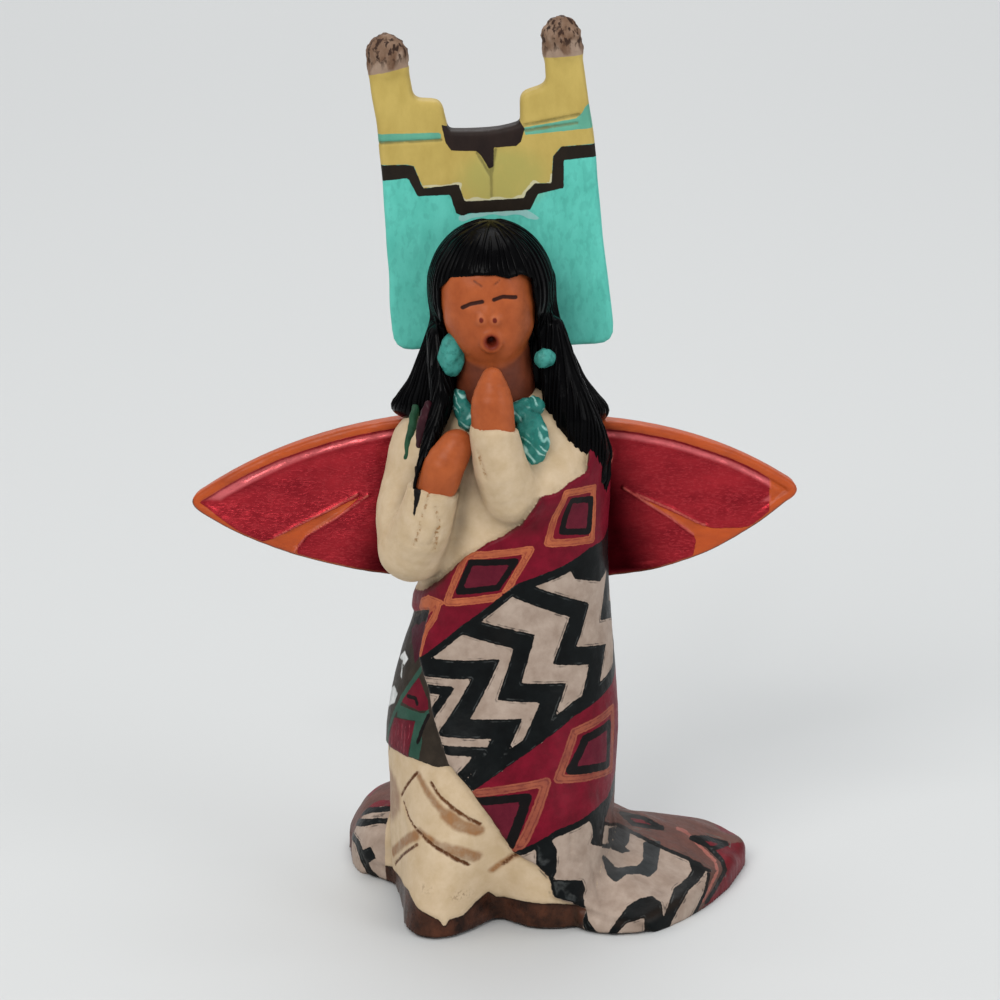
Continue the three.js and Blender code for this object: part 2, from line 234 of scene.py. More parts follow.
# %% Limbs and lumps
def near(points, low, high, field, margin=5.0):
    """Work a field out only near its own box, and give the way to that box elsewhere."""
    gap = np.maximum(np.maximum(np.asarray(low) - points, points - np.asarray(high)), 0)
    away = np.sqrt((gap ** 2).sum(axis=1))
    close = away < margin
    away[close] = field(points[close])
    return away


def limb(points, spine, radii, steps=8):
    """A rounded limb along a curve, with a radius at each of its points."""
    share = np.linspace(0, 1, steps + 1)
    joints = along(spine, share)
    sizes = along(radii, share)
    thickest = max(radii)

    def chain(p):
        best = np.full(len(p), np.inf)
        for a, b, here, there in zip(joints, joints[1:], sizes, sizes[1:]):
            bone = b - a
            t = np.clip((p - a) @ bone / (bone @ bone), 0, 1)
            reach = np.linalg.norm(p - a - t[:, None] * bone, axis=1)
            best = np.minimum(best, reach - here - (there - here) * t)
        return best

    low, high = joints.min(axis=0) - thickest, joints.max(axis=0) + thickest
    return near(points, low, high, chain)


def lump(points, centre, half, squareness=2.0):
    """A rounded lump; a squareness above 2 fills its corners out."""
    offset = points - np.asarray(centre)
    ratio = (np.abs(offset / np.asarray(half)) ** squareness).sum(axis=1) ** (1 / squareness)
    ratio = np.maximum(ratio, 1e-4)
    return np.linalg.norm(offset, axis=1) * (1 - 1 / ratio)


# %% Standing forms
def section_table(sections, rows=160):
    """Level sections (height, left, right, front, back) as a fine table with rising heights."""
    return along(sections, np.linspace(0, 1, rows))


def standing(points, table, squareness, swell=None):
    """A standing form whose level sections are given as reaches from the axis."""
    x, y, z = points.T
    left, right, front, back = (np.interp(z, table[:, 0], table[:, k]) for k in (1, 2, 3, 4))
    wide = np.where(x < 0, left, right)
    deep = np.where(y < 0, front, back)
    if swell is not None:
        half = squareness / 2
        along_x = np.sign(x) * np.abs(x / wide) ** half
        along_y = np.sign(y) * np.abs(y / deep) ** half
        more = swell(np.arctan2(along_y, along_x), z)
        wide = wide + more
        deep = deep + more
    ratio = (np.abs(x / wide) ** squareness + np.abs(y / deep) ** squareness) ** (1 / squareness)
    side = np.hypot(x, y) * (1 - 1 / np.maximum(ratio, 1e-4))
    ends = np.maximum(table[0, 0] - z, z - table[-1, 0])
    return smooth_max(side, ends, 0.8)


# %% Flat outlines
def outline_distance(u, v, corners):
    """Distance to a closed outline, negative inside it."""
    best = np.full(np.shape(u), np.inf)
    inside = np.zeros(np.shape(u), dtype=bool)
    for (u0, v0), (u1, v1) in zip(corners, np.roll(corners, -1, axis=0)):
        run, rise = u1 - u0, v1 - v0
        t = np.clip(((u - u0) * run + (v - v0) * rise) / (run ** 2 + rise ** 2 + 1e-12), 0, 1)
        best = np.minimum(best, (u - u0 - t * run) ** 2 + (v - v0 - t * rise) ** 2)
        if v0 != v1:
            inside ^= ((v0 > v) != (v1 > v)) & (u < u0 + run * (v - v0) / rise)
    return np.where(inside, -1, 1) * np.sqrt(best)


def line_distance(u, v, path):
    """Distance to an open line through the given points."""
    best = np.full(np.shape(u), np.inf)
    for (u0, v0), (u1, v1) in zip(path, path[1:]):
        run, rise = u1 - u0, v1 - v0
        t = np.clip(((u - u0) * run + (v - v0) * rise) / (run ** 2 + rise ** 2 + 1e-12), 0, 1)
        best = np.minimum(best, (u - u0 - t * run) ** 2 + (v - v0 - t * rise) ** 2)
    return np.sqrt(best)


# %% Bands and bundles of lines
def ribbon(path, width):
    """The outline of a band with mitred corners along a line."""
    path = np.asarray(path, dtype=float)
    steps = np.diff(path, axis=0)
    normals = np.stack([-steps[:, 1], steps[:, 0]], axis=1) / np.linalg.norm(steps, axis=1)[:, None]
    joints = []
    for i in range(len(path)):
        before = normals[max(i - 1, 0)]
        after = normals[min(i, len(normals) - 1)]
        mitre = before + after
        joints.append(mitre / max(mitre @ mitre / 2, 0.35))
    shift = np.array(joints) * width / 2
    return np.concatenate([path + shift, (path - shift)[::-1]])


def nearest_line(u, v, paths):
    """Distance to the nearest of several open lines."""
    return np.minimum.reduce([line_distance(u, v, path) for path in paths])


def read_line(path, u):
    """Height of a line of points (u, v), at every u."""
    return np.interp(u, *zip(*path))


# %% Adding strokes up, and keeping what they share
def joined(fields):
    """Distance into whichever stroke is nearest, positive inside."""
    return np.maximum.reduce(list(fields))


def shared(*fields):
    """Distance into the ground that all the strokes share."""
    return np.minimum.reduce(fields)


def insides(u, v, outlines):
    return joined(-outline_distance(u, v, outline) for outline in outlines)


# %% [markdown]
# ## From a field to a mesh
#
# The field is read on a grid, but only in the blocks that the skin passes through. Every grid
# cell with the skin in it gets one vertex, and every grid edge that crosses the skin gets one
# quad: that is the surface net method. The vertices then slide along the field's slope until
# they lie on the skin itself, so carving finer than the grid still shows.


# %% Reading the grid
def read_grid(field, low, high, step, block=6, margin=1.7, batch=400000):
    """The field at every grid point near the skin, and its sign alone elsewhere."""
    low = np.asarray(low, dtype=float)
    blocks = np.ceil((np.asarray(high) - low) / (step * block)).astype(int)
    middles = np.stack(np.meshgrid(*(np.arange(n) + 0.5 for n in blocks), indexing="ij"), axis=-1)
    coarse = field(low + middles.reshape(-1, 3) * block * step).reshape(blocks)
    active = np.abs(coarse) < margin * block * step
    owner = np.ix_(*(np.minimum(np.arange(n * block + 1) // block, n - 1) for n in blocks))
    values = np.where(coarse < 0, -1.0, 1.0)[owner].astype(np.float32)
    cells = np.argwhere(active[owner])
    for part in np.array_split(cells, max(len(cells) // batch, 1)):
        values[tuple(part.T)] = field(low + part * step)
    return values


# %% The net of quads
def surface_net(values, low, step):
    """One vertex for each cell that holds the skin, one quad for each edge that crosses it."""
    inside = values < 0
    corner_sum = np.zeros(np.array(values.shape) - 1, dtype=np.int8)
    for offset in np.ndindex(2, 2, 2):
        corner_sum += inside[tuple(slice(o, o + n) for o, n in zip(offset, corner_sum.shape))]
    mixed = (corner_sum > 0) & (corner_sum < 8)
    cells = np.argwhere(mixed)
    number = np.full(mixed.shape, -1, dtype=np.int64)
    number[mixed] = np.arange(len(cells))
    total = np.zeros((len(cells), 3))
    hits = np.zeros(len(cells))
    quads = []
    for axis in range(3):
        unit, side, up = np.roll(np.eye(3, dtype=int), axis, axis=0)
        for a, b in np.ndindex(2, 2):
            start = cells + a * side + b * up
            here = values[tuple(start.T)]
            there = values[tuple((start + unit).T)]
            cross = (here < 0) != (there < 0)
            share = here[cross] / (here[cross] - there[cross])
            total[cross] += start[cross] + share[:, None] * unit
            hits[cross] += 1
        first = inside[tuple(slice(0, n - u) for n, u in zip(inside.shape, unit))]
        second = inside[tuple(slice(u, n) for n, u in zip(inside.shape, unit))]
        edges = np.argwhere(first != second)
        room = np.all((edges >= side + up) & (edges < np.array(mixed.shape)), axis=1)
        edges = edges[room]
        around = [edges - side - up, edges - up, edges, edges - side]
        ring = np.stack([number[tuple(cell.T)] for cell in around], axis=1)
        outwards = first[tuple(edges.T)]
        ring[~outwards] = ring[~outwards][:, ::-1]
        quads.append(ring)
    points = np.asarray(low) + step * total / hits[:, None]
    return points, np.concatenate(quads)


# %% Sliding points onto the skin
def slope(points, field, reach=0.06):
    """The way out of the form at each point."""
    steps = np.eye(3) * reach
    return np.stack([field(points + s) - field(points - s) for s in steps], axis=1) / (2 * reach)


def settle(points, field, rounds=3, limit=0.3):
    """Slide points onto the skin, by no more than a limit in each round."""
    for _ in range(rounds):
        push = slope(points, field)
        size = np.maximum((push ** 2).sum(axis=1), 0.05)
        move = push * (field(points) / size)[:, None]
        length = np.maximum(np.linalg.norm(move, axis=1), 1e-9)
        points = points - move * np.minimum(1, limit / length)[:, None]
    return points


def skin(field, low, high, step):
    """Vertices and quads of a field's skin, with nothing under the floor."""
    values = read_grid(field, low, high, step)
    points, quads = surface_net(values, low, step)
    points = settle(points, field, limit=0.5 * step)
    points[:, 2] = np.maximum(points[:, 2], 0)
    return points, quads


# %% Making the Blender object
def belongs_to_figure(piece):
    """Every piece rides on the one body and stands in for the one casting."""
    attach(piece, "root")
    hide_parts(cad_node)


def make_piece(name, points, quads, paint, material):
    """A named mesh in metres with one float attribute for each field of paint."""
    mesh = bpy.data.meshes.new(name)
    mesh.from_pydata((points * mm).tolist(), [], quads.tolist())
    mesh.polygons.foreach_set("use_smooth", np.ones(len(mesh.polygons), dtype=bool))
    for key, values in paint.items():
        attribute = mesh.attributes.new(key, "FLOAT", "POINT")
        attribute.data.foreach_set("value", np.asarray(values, dtype=np.float32))
    mesh.materials.append(material)
    piece = bpy.data.objects.new(name, mesh)
    bpy.context.collection.objects.link(piece)
    belongs_to_figure(piece)
    print(name, "has", 2 * len(quads), "triangles")


# %% [markdown]
# ## Hand paint as a material
#
# The painter laid one flat colour over another and left crisp, slightly wandering edges. Each
# colour is a coat: the mesh carries the distance to the edge of its strokes, positive inside, and
# the shader turns that into a mask with a small wobble. Coats go on in the order of the list.
# Noise varies each colour as a brush does, and the thickness of the paint lifts the surface.

# %% What one coat of paint holds
def coat(field, colour, shade, rough=0.42, cover=1.0, film=0.5, metal=0.0, soft=0.05, speckle=0.0,
         line=None):
    return {"field": field, "colour": linear(*colour), "shade": linear(*shade), "rough": rough,
            "cover": cover, "film": film, "metal": metal, "soft": soft, "speckle": speckle, "line": line}


def span(tree, value, *limits, smooth=False):
    """Carry a number from one range to another: from low, from high, to low, to high."""
    kind = "SMOOTHSTEP" if smooth else "LINEAR"
    return add_node(tree, "ShaderNodeMapRange", (value, *limits), interpolation_type=kind).outputs[0]


# %% The mask of one coat
def coat_mask(tree, layer, wobble, brush, drawn):
    """1 where the coat covers, 0 where it doesn't, from the distance that the mesh carries."""
    distance = add_node(tree, "ShaderNodeAttribute", attribute_name=layer["field"]).outputs["Fac"]
    if layer["line"]:
        inset, half_width = layer["line"]
        away = math_node(tree, "ABSOLUTE", math_node(tree, "SUBTRACT", distance, inset))
        distance = math_node(tree, "SUBTRACT", half_width, away)
    wandering = math_node(tree, "ADD", distance, wobble)
    mask = span(tree, wandering, -layer["soft"], layer["soft"], smooth=True)
    if layer["cover"] < 1:
        thin = span(tree, brush, 0.0, 1.0, layer["cover"] * 0.5, layer["cover"] * 1.2)
        mask = math_node(tree, "MULTIPLY", mask, thin)
    if layer["speckle"]:
        spots = span(tree, noise_node(tree, drawn, layer["speckle"], 2.0), 0.51, 0.6)
        mask = math_node(tree, "MULTIPLY", mask, spots)
    return mask


# %% The painted material
paint_depth = 0.15


def painted(name, coats, wash_and_shade_colour=(60, 45, 34), wash_and_shade_share=0.5, wander=0.18, gloss=0.16, bump=0.55,
            stretch=(1, 1, 1)):
    """A material that paints its coats in order; the first one covers everything."""
    material = bpy.data.materials.new(name)
    material.use_nodes = True
    tree = material.node_tree
    shader = tree.nodes["Principled BSDF"]
    shader.inputs["Specular IOR Level"].default_value = gloss
    place = add_node(tree, "ShaderNodeTexCoord").outputs["Object"]
    drawn = add_node(tree, "ShaderNodeMapping", {"Vector": place, "Scale": stretch}).outputs[0]
    brush = span(tree, noise_node(tree, drawn, 2.6, 5.0, 0.62), 0.32, 0.68)
    cloud = noise_node(tree, place, 9.0, 2.0)
    grain = noise_node(tree, drawn, 0.5, 3.0)
    wobble = math_node(tree, "MULTIPLY_ADD", noise_node(tree, place, 0.8, 2.0), wander, -wander / 2)
    first = coats[0]
    colour = mix_colour(tree, brush, first["colour"], first["shade"])
    rough, metal, film = first["rough"], first["metal"], 0.0
    for layer in coats[1:]:
        mask = coat_mask(tree, layer, wobble, brush, drawn)
        colour = mix_colour(tree, mask, colour, mix_colour(tree, brush, layer["colour"], layer["shade"]))
        rough = mix_number(tree, mask, rough, layer["rough"])
        film = mix_number(tree, mask, film, layer["film"])
        if any(other["metal"] for other in coats):
            metal = mix_number(tree, mask, metal, layer["metal"])
    # Hollows are darkened towards one colour: partly a dark wash in the creases, partly painted shade where
    # less light reaches.
    hollow = add_node(tree, "ShaderNodeAttribute", attribute_name="hollow").outputs["Fac"]
    wash_and_shade_mask = math_node(tree, "MULTIPLY", hollow, span(tree, cloud, 0.3, 0.7, 0.6, 1.2))
    wash_and_shade_mask = math_node(tree, "MULTIPLY", wash_and_shade_mask, wash_and_shade_share)
    colour = mix_colour(tree, wash_and_shade_mask, colour, linear(*wash_and_shade_colour))
    tree.links.new(colour, shader.inputs["Base Color"])
    rough = math_node(tree, "ADD", rough, span(tree, grain, 0.3, 0.7, -0.06, 0.08))
    tree.links.new(rough, shader.inputs["Roughness"])
    if not isinstance(metal, float):
        tree.links.new(metal, shader.inputs["Metallic"])
    height = math_node(tree, "MULTIPLY_ADD", grain, 0.25, film)
    height = math_node(tree, "MULTIPLY_ADD", brush, 0.3, height)
    relief = {"Strength": 1.0, "Distance": bump * paint_depth * mm, "Height": height}
    lifted = add_node(tree, "ShaderNodeBump", relief).outputs[0]
    tree.links.new(lifted, shader.inputs["Normal"])
    print(name, "has", len(coats), "coats and", len(tree.nodes), "nodes")
    return material


# %% Dark wash and painted shade in the hollows, and making a painted piece
def hollows(points, field, reach=1.3):
    """How deep each point lies in a hollow, from 0 on open ground to 1 in a crease."""
    outward = slope(points, field)
    outward /= np.maximum(np.linalg.norm(outward, axis=1), 1e-6)[:, None]
    near_by = 1 - field(points + outward * reach) / reach
    far_off = 1 - field(points + outward * reach * 2.5) / (reach * 2.5)
    return np.clip(0.6 * near_by + 0.5 * far_off, 0, 1)


def sculpt(name, carved, plain, paint, corners, step, material, reach=1.3):
    """Skin a carved field between two corners, read its paint and hollows, and make the piece."""
    points, quads = skin(carved, *corners, step)
    fields = paint(points)
    # The material darkens the hollows by this: partly a dark wash, partly painted shade.
    fields["hollow"] = hollows(points, plain, reach)
    make_piece(name, points, quads, fields, material)
    return points


# %% [markdown]
# ## The kneeling body and its robe
#
# The robe is one column of level sections, read as reaches to the left, right, front and back.
# Two knees swell it at the foot and a crease parts them, the shins lie behind under a spread of
# cloth, and the blanket is the same body a little thicker on one side of two slanting edges.

# %% Sizes of the body
body_sections = [
    [-1, 15.8, 16.0, 16.4, 18.4], [8, 16.3, 16.0, 17.4, 17.2], [17, 16.4, 16.2, 17.2, 14.8],
    [27, 16.4, 16.6, 15.0, 13.2], [37, 14.3, 16.0, 12.6, 12.4], [46, 11.8, 15.2, 11.6, 11.8],
    [55, 13.2, 14.9, 11.4, 11.6], [63, 15.2, 15.2, 11.4, 11.4], [69, 15.6, 14.8, 10.8, 10.6],
    [73.5, 12.8, 12.6, 9.4, 9.0], [78, 6.8, 6.0, 7.0, 6.0],
]
body_squareness = 2.15
body_table = section_table(body_sections)
knees = [(-116, 24, 7.8, 34), (-56, 24, 4.0, 30), (-93, 12, -5.4, 24)]
shins = [((-9.4, 14, 0), (13.2, 13, 10.6), 3.0), ((9, 13.2, 0), (12, 12.4, 9.2), 2.4)]
blanket_thickness = 0.9


# %% Knees, and the body as a field
def knee_swell(turn, height):
    """How far the knees and the crease between them push the robe out or in."""
    swell = 0
    for direction, spread, reach, top in knees:
        off = (np.degrees(turn) - direction) / spread
        swell = swell + reach * np.exp(-off ** 2) * np.clip(1 - height / top, 0, 1) ** 1.5
    return swell


def body_form(points):
    return standing(points, body_table, body_squareness, knee_swell)


def over_arm(points):
    """Distance past the slanting line where the blanket's edge crosses the right arm."""
    return (points[:, 0] - 3.3 - 0.65 * (points[:, 2] - 60.8)) / 1.2


# %% [markdown]
# ## Where the blanket lies
#
# On the casting the blanket is no separate layer: the sculptor scored its edge and left one side a
# little higher. So it needs no mesh of its own. Its edge is drawn in front as a line from the hip
# to the shoulder and as an opening below the hip, and inside it the body swells by the
# thickness of the cloth.

# %% Edges of the blanket
front_edge = [(-30, 31), (-16, 43.5), (-11.4, 47.9), (-5, 55.0), (-1.5, 57.4), (0.6, 58.4), (3.2, 60.4),
              (4.1, 63.2), (4.9, 64.6), (8.0, 64.7), (10.4, 66.2), (12.5, 66.8), (13.1, 74), (14, 90)]
opening = [(-13.5, 45.9), (-14.2, 43.9), (-14.4, 41.1), (-14.3, 39.1), (-13.5, 37.8), (-11.3, 34.9),
           (-10.0, 31.9), (-8.0, 28.3), (-6.3, 25.0), (-3.5, 21.8), (-1.2, 17.8), (1.5, 12.3),
           (4.2, 10.3), (5.4, 8.4), (5.7, 5.6), (8.6, 3.6), (12.0, 1.6), (14, -3), (-60, -3), (-60, 43.6),
           (-20, 44.0), (-16.2, 45.2)]
back_edge_rise = 0.92
back_edge_at = 58.2
chart_radius = 14.5


def blanket_inside(points):
    """Distance into the blanket's ground, positive inside."""
    x, y, z = points.T
    front_top = read_line(front_edge, x)
    back_top = back_edge_at + back_edge_rise * x
    top = front_top + (back_top - front_top) * fade(-1, 3, y)
    below = (top - z) / math.hypot(1, back_edge_rise)
    beside = outline_distance(chart_radius * np.arctan2(x, -y), z, opening)
    behind = y - 8
    return np.minimum(below, np.maximum(beside, behind))


# %% The cloth that trails on the ground
trail_outline = [
    (-17, 1), (-21, 9), (-22.8, 18), (-20, 25.6), (-8, 27.6), (6, 26.6), (20, 24.2), (31, 19.4),
    (37.2, 12.4), (35.8, 3.4), (31.6, -6.8), (25.6, -15.6), (19.4, -20.2), (12, -18.4), (2, -6), (-8, -3),
]
print("the cloth on the ground has", len(trail_outline), "corners")
trail_rim = 1.8
trail_top = 10.6
trail_shrink = 0.6
wrapped = trail_outline[-3:] + trail_outline + trail_outline[:3]
wrapped_curve = along(wrapped, np.linspace(0, 1, 900))
trail_turn = np.arctan2(wrapped_curve[:, 1], wrapped_curve[:, 0])
trail_order = np.argsort(trail_turn)
trail_turn = trail_turn[trail_order]
trail_reach = np.linalg.norm(wrapped_curve, axis=1)[trail_order]


def trail_form(points):
    x, y, z = points.T
    reach = np.interp(np.arctan2(y, x), trail_turn, trail_reach, period=2 * math.pi)
    share = np.hypot(x, y) / reach
    top = trail_rim + (trail_top - trail_rim) * np.clip((1 - share) / trail_shrink, 0, 1)
    top = top + 1.5 * fade(14, 30, x) + 1.8 * fade(-14, -20, x) + 0.35 * ripple(points * (1, 1, 0), 9.0, 31)
    return smooth_max((share - 1) * reach, (z - top) * 0.85, 1.4)


# %% [markdown]
# ## Sleeves
#
# The arms are folded in front of the chest, and they are fat, smooth rolls of clay. Each is an
# upper arm and a forearm with a radius at every joint, melted at the elbow. The cuff is a cut
# across the forearm with a slightly uneven edge, because the hand was pressed into it.

# %% Sleeves
left_upper_arm = [(-11.2, -0.4, 69), (-13.0, -4.4, 60.5), (-12.6, -8.0, 55.4)]
left_forearm = [(-12.6, -8.2, 55.6), (-11.0, -11.4, 60), (-9.3, -12.6, 66.2)]
right_upper_arm = [(10.2, -3.6, 68.4), (7.2, -7.4, 65.4), (2.2, -10.4, 64.4)]
right_forearm = [(1.6, -11.0, 64.6), (0.2, -13.0, 68.6), (-0.9, -14.0, 74)]
left_cuff = ((-9.5, -12.5, 65.9), (0.16, -0.10, 0.96))
right_cuff = ((-0.8, -14.0, 75.0), (0.14, 0.06, 0.98))


def sleeve(points, upper, upper_radii, fore, fore_radii, cuff):
    """One arm: two rolls that meet at the elbow, cut off at the cuff."""
    place, direction = np.array(cuff)
    past_cuff = (points - place) @ (direction / np.linalg.norm(direction))
    past_cuff = past_cuff + 0.25 * ripple(points, 4.0, 5)
    lower = smooth_max(limb(points, fore, fore_radii), past_cuff, 0.35)
    return smooth_min(limb(points, upper, upper_radii), lower, 0.7)


def sleeves_form(points):
    left = sleeve(points, left_upper_arm, (4.2, 4.9, 4.9), left_forearm, (4.8, 4.2, 3.7), left_cuff)
    right = sleeve(points, right_upper_arm, (4.6, 4.0, 4.1), right_forearm, (4.4, 3.9, 3.5), right_cuff)
    return np.minimum(left, right)


# %% [markdown]
# ## Drawing on the robe
#
# The pattern is drawn on a chart of the robe: `u` runs along the cloth, zero at the middle of the
# front, and `v` is the height. On the back the slanting bands come down again, so they are
# measured by a third number, `slide`, that turns round at the sides.

# %% The chart
band_rise = 0.56
turn_sharpness = 0.985


def chart(points):
    x, y, z = points.T
    turn = np.arctan2(x, -y)
    fold = np.arcsin(turn_sharpness * np.sin(turn))
    return chart_radius * turn, z, chart_radius * fold


# %% Red bands and their diamonds
upper_band = [(-60, 47.0), (-13.3, 46.4), (-6.8, 48.2), (2.7, 49.7), (11.4, 47.4), (15.3, 46.9),
              (19.1, 45.3), (60, 45.3)]
lower_band_top = [(-60, 24.4), (-4, 24.2), (0.8, 25.4), (6.2, 26.0), (10.7, 26.2), (18.9, 24.4), (60, 24.4)]
lower_band_foot = [(-60, 11.4), (1.6, 11.5), (6.4, 12.1), (11.9, 10.3), (15.7, 8.6), (60, 8.6)]
first_diamond = [(-5.8, 55.2), (5.2, 56.3), (0.5, 49.4), (-9.4, 47.7)]
first_frame = [(-4.9, 54.3), (2.7, 54.6), (-0.4, 50.7), (-7.2, 49.6)]
second_diamond = [(10.1, 64.6), (15.6, 64.4), (15.7, 56.6), (7.9, 57.1)]
second_frame = [(11.4, 63.2), (15.2, 62.8), (15.0, 58.0), (10.2, 58.6)]
side_blob = [(-17.3, 44.6), (-16.3, 46.7), (-13.5, 48.0), (-10.1, 47.9), (-9.8, 47.3), (-11.7, 46.6),
             (-13.4, 45.0)]
side_stroke = [(-11.2, 46.9), (-12.1, 44.8), (-13.6, 42.7), (-13.9, 41.2), (-14.0, 39.2)]
low_diamond = [(10.3, 28.9), (18.4, 30.4), (17.6, 21.2), (7.2, 22.7)]
low_frame = [(11.9, 27.6), (17.0, 28.4), (16.0, 22.4), (8.9, 23.6)]
corner_diamond = [(-8.0, 20.6), (5.7, 22.5), (1.2, 10.6)]
corner_frame = [(-6.0, 19.8), (3.2, 20.6), (1.0, 13.2)]
diamond_step = 14.9
orange_width, rust_width = 1.15, 1.2
upper_frame_width, lower_frame_width = 0.95, 1.2
top_line_half, middle_line_half, foot_line_half = 0.75, 1.0, 0.6


def frame_lines(u, v, corners, width):
    """Distance into a painted line that runs round a closed outline."""
    closed = list(corners) + [corners[0]]
    return width / 2 - line_distance(u, v, closed)


def repeated(shape, count):
    """The same shape moved on along the band, in step with its slant."""
    return [[(u + k * diamond_step, v + k * diamond_step * band_rise) for u, v in shape] for k in count]


upper_diamonds = [second_diamond, first_diamond] + repeated(second_diamond, range(1, 6))
upper_frames = [second_frame, first_frame] + repeated(second_frame, range(1, 6))
lower_diamonds = [low_diamond, corner_diamond] + repeated(low_diamond, range(1, 6))
lower_frames = [low_frame, corner_frame] + repeated(low_frame, range(1, 6))
print("diamonds on the blanket:", len(upper_diamonds) + len(lower_diamonds))

# %% Stepped zigzags
zigzag_width = 2.7
zigzags = [
    [(2.7, 50.5), (13.2, 46.4), (10.2, 40.0), (16.0, 39.2), (12.4, 31.0)],
    [(-6.2, 44.8), (4.0, 42.6), (1.4, 35.4), (8.0, 34.9), (3.6, 26.6)],
    [(-13.2, 37.6), (-2.2, 38.6), (-6.4, 30.0), (1.0, 30.2), (-3.0, 21.8)],
]
small_zigzags = [[(-11.5, 34.7), (-7.9, 35.0), (-10.2, 30.6)], [(-7.6, 26.9), (-2.2, 27.0), (-5.0, 22.8)]]
small_zigzag_width = 1.3
side_block = [(11.0, 54.0), (12.5, 51.2), (17.6, 49.8), (25, 54), (25, 62), (18, 57)]
far_zigzag = [(-2.8, 2.4), (7.5, -1.0), (4.6, -8.0), (10.6, -8.6), (6.8, -17.0)]
far_zigzag_height = 45.0
far_zigzag_starts = [14.5 + 8.6 * k for k in range(8)]
print("zigzags:", len(zigzags) + len(small_zigzags) + len(far_zigzag_starts))


# %% Fields of paint on the blanket
def blanket_paint(points):
    """Bands, zigzags and diamonds of the blanket, as distances."""
    u, v, slide = chart(points)
    level = v - band_rise * slide
    ahead = np.where(u < -25, u + 2 * math.pi * chart_radius, u)
    flat = level + band_rise * ahead
    top = read_line(upper_band, u)
    foot = read_line(lower_band_foot, u)
    low_top = read_line(lower_band_top, u)
    squash = 1 / math.hypot(1, band_rise)
    upper_red = (level - top) * squash
    lower_red = np.minimum(low_top - 1.0 - level, level - foot) * squash
    red = np.maximum(upper_red, lower_red)
    lines = np.maximum(top_line_half - np.abs(level - top + 0.6) * squash,
                       middle_line_half - np.abs(level - low_top) * squash)
    lines = np.maximum(lines, foot_line_half - np.abs(level - foot + 0.3) * squash)
    between = np.minimum(top - level, level - low_top) * squash
    far_zigzags = []
    for start in far_zigzag_starts:
        height = far_zigzag_height + band_rise * start
        far_zigzags.append([(start + a, height + b) for a, b in far_zigzag])
    steps = [ribbon(path, zigzag_width) for path in zigzags + far_zigzags]
    steps += [ribbon(path, small_zigzag_width) for path in small_zigzags] + [side_block]
    zig = np.minimum(insides(ahead, flat, steps), between + 0.4)
    black = np.maximum(lines, zig)
    orange = [frame_lines(ahead, flat, shape, orange_width) for shape in upper_diamonds]
    orange += [-outline_distance(ahead, flat, side_blob), 0.6 - line_distance(ahead, flat, side_stroke)]
    rust = joined(frame_lines(ahead, flat, shape, rust_width) for shape in lower_diamonds)
    inner = [frame_lines(ahead, flat, shape, upper_frame_width) for shape in upper_frames]
    inner += [frame_lines(ahead, flat, shape, lower_frame_width) for shape in lower_frames]
    return {"black": black, "red": red, "orange": shared(joined(orange), red), "rust": shared(rust, red),
            "inner": shared(joined(inner), red - 0.3), "foot": (foot - level) * squash,
            "core": insides(ahead, flat, upper_frames + lower_frames) - 0.4}


# %% [markdown]
# ## Paint on the trailing cloth, the skirt and the sash
#
# The cloth on the ground faces forwards and up, so its strokes are drawn on an oblique chart:
# `across` is x, and `lift` mixes height and depth as one sees them from the front and a little
# above. The back of it is plainer: a red border follows the rim.

# %% The oblique chart
def oblique(points):
    x, y, z = points.T
    return x, z * math.cos(camera_elevation) + y * math.sin(camera_elevation)


floor_blacks = [
    [(5.2, 7.7), (5.7, 9.0), (7.3, 9.0), (8.3, 7.3), (8.2, 4.1), (7.7, 2.9), (12.0, 2.6), (12.5, 1.3),
     (12.1, 0.4), (12.9, -3.3), (15, -6), (13, -6), (11.8, -3.4), (10.6, -0.6), (8.1, 0.2), (6.2, 1.4),
     (5.3, 2.4)],
    [(12.9, 11.4), (15.9, 14.7), (16.9, 17.7), (17.6, 17.6), (16.6, 14.0), (15.5, 11.2), (15.0, 7.1),
     (13.1, 7.8), (13.6, 8.8), (13.4, 10.6)],
    [(28.3, 4.6), (29.9, 3.9), (30.9, 3.0), (29.6, 1.6), (27.8, 0.4), (26.2, -1.9), (25.2, -3.6),
     (24.2, -6), (22.6, -6), (24.5, -1.5), (25.6, 0.8), (27.9, 2.2), (28.5, 3.0), (28.1, 4.3)],
    [(15.0, -6), (17.2, -2.9), (18.6, -1.2), (20.5, -0.2), (22.3, 0.0), (23.6, -0.9), (23.9, -2.8),
     (23.8, -6), (21.0, -6), (21.0, -2.8), (18.5, -3.6), (16.0, -6)],
]
floor_greys = [
    [(16.1, 9.6), (19.5, 8.5), (19.3, 7.2), (18.4, 6.4), (16.4, 6.6), (15.9, 7.7)],
    [(15.0, 7.5), (18.6, 6.5), (19.4, 5.9), (18.1, 5.7), (15.0, 6.9)],
    [(21.4, 7.0), (24.0, 7.0), (24.0, 6.1), (23.2, 3.2), (22.0, 2.4), (20.3, 2.9), (18.6, 3.0),
     (16.8, 1.9), (15.7, 3.1), (14.9, 5.6), (15.2, 5.9), (17.1, 3.9), (20.4, 4.0), (21.2, 4.8)],
]
border = [(14, 11.2), (17.8, 9.2), (21.4, 7.5), (24.5, 6.0), (27.9, 4.6), (31.2, 2.7), (30.4, 0.0),
          (28.4, -3.6), (36, -5), (48, 5), (48, 24), (10, 24)]
border_gems = [[(18.3, 10.7), (21.8, 10.0), (24.5, 8.6), (20.0, 9.3)],
               [(28.8, 7.1), (30.8, 7.0), (34.5, 5.8), (31.9, 5.5)]]
tip_line = [(29.6, 7.1), (31.5, 5.7), (33.4, 3.8), (33.7, 2.5), (32.2, 0.4), (30.6, -1.6)]
pink_line = [(26.8, 8.4), (28.0, 8.0), (30.1, 5.9), (32.3, 3.8), (32.5, 2.6), (31.4, 0.9), (30.0, -1.4)]
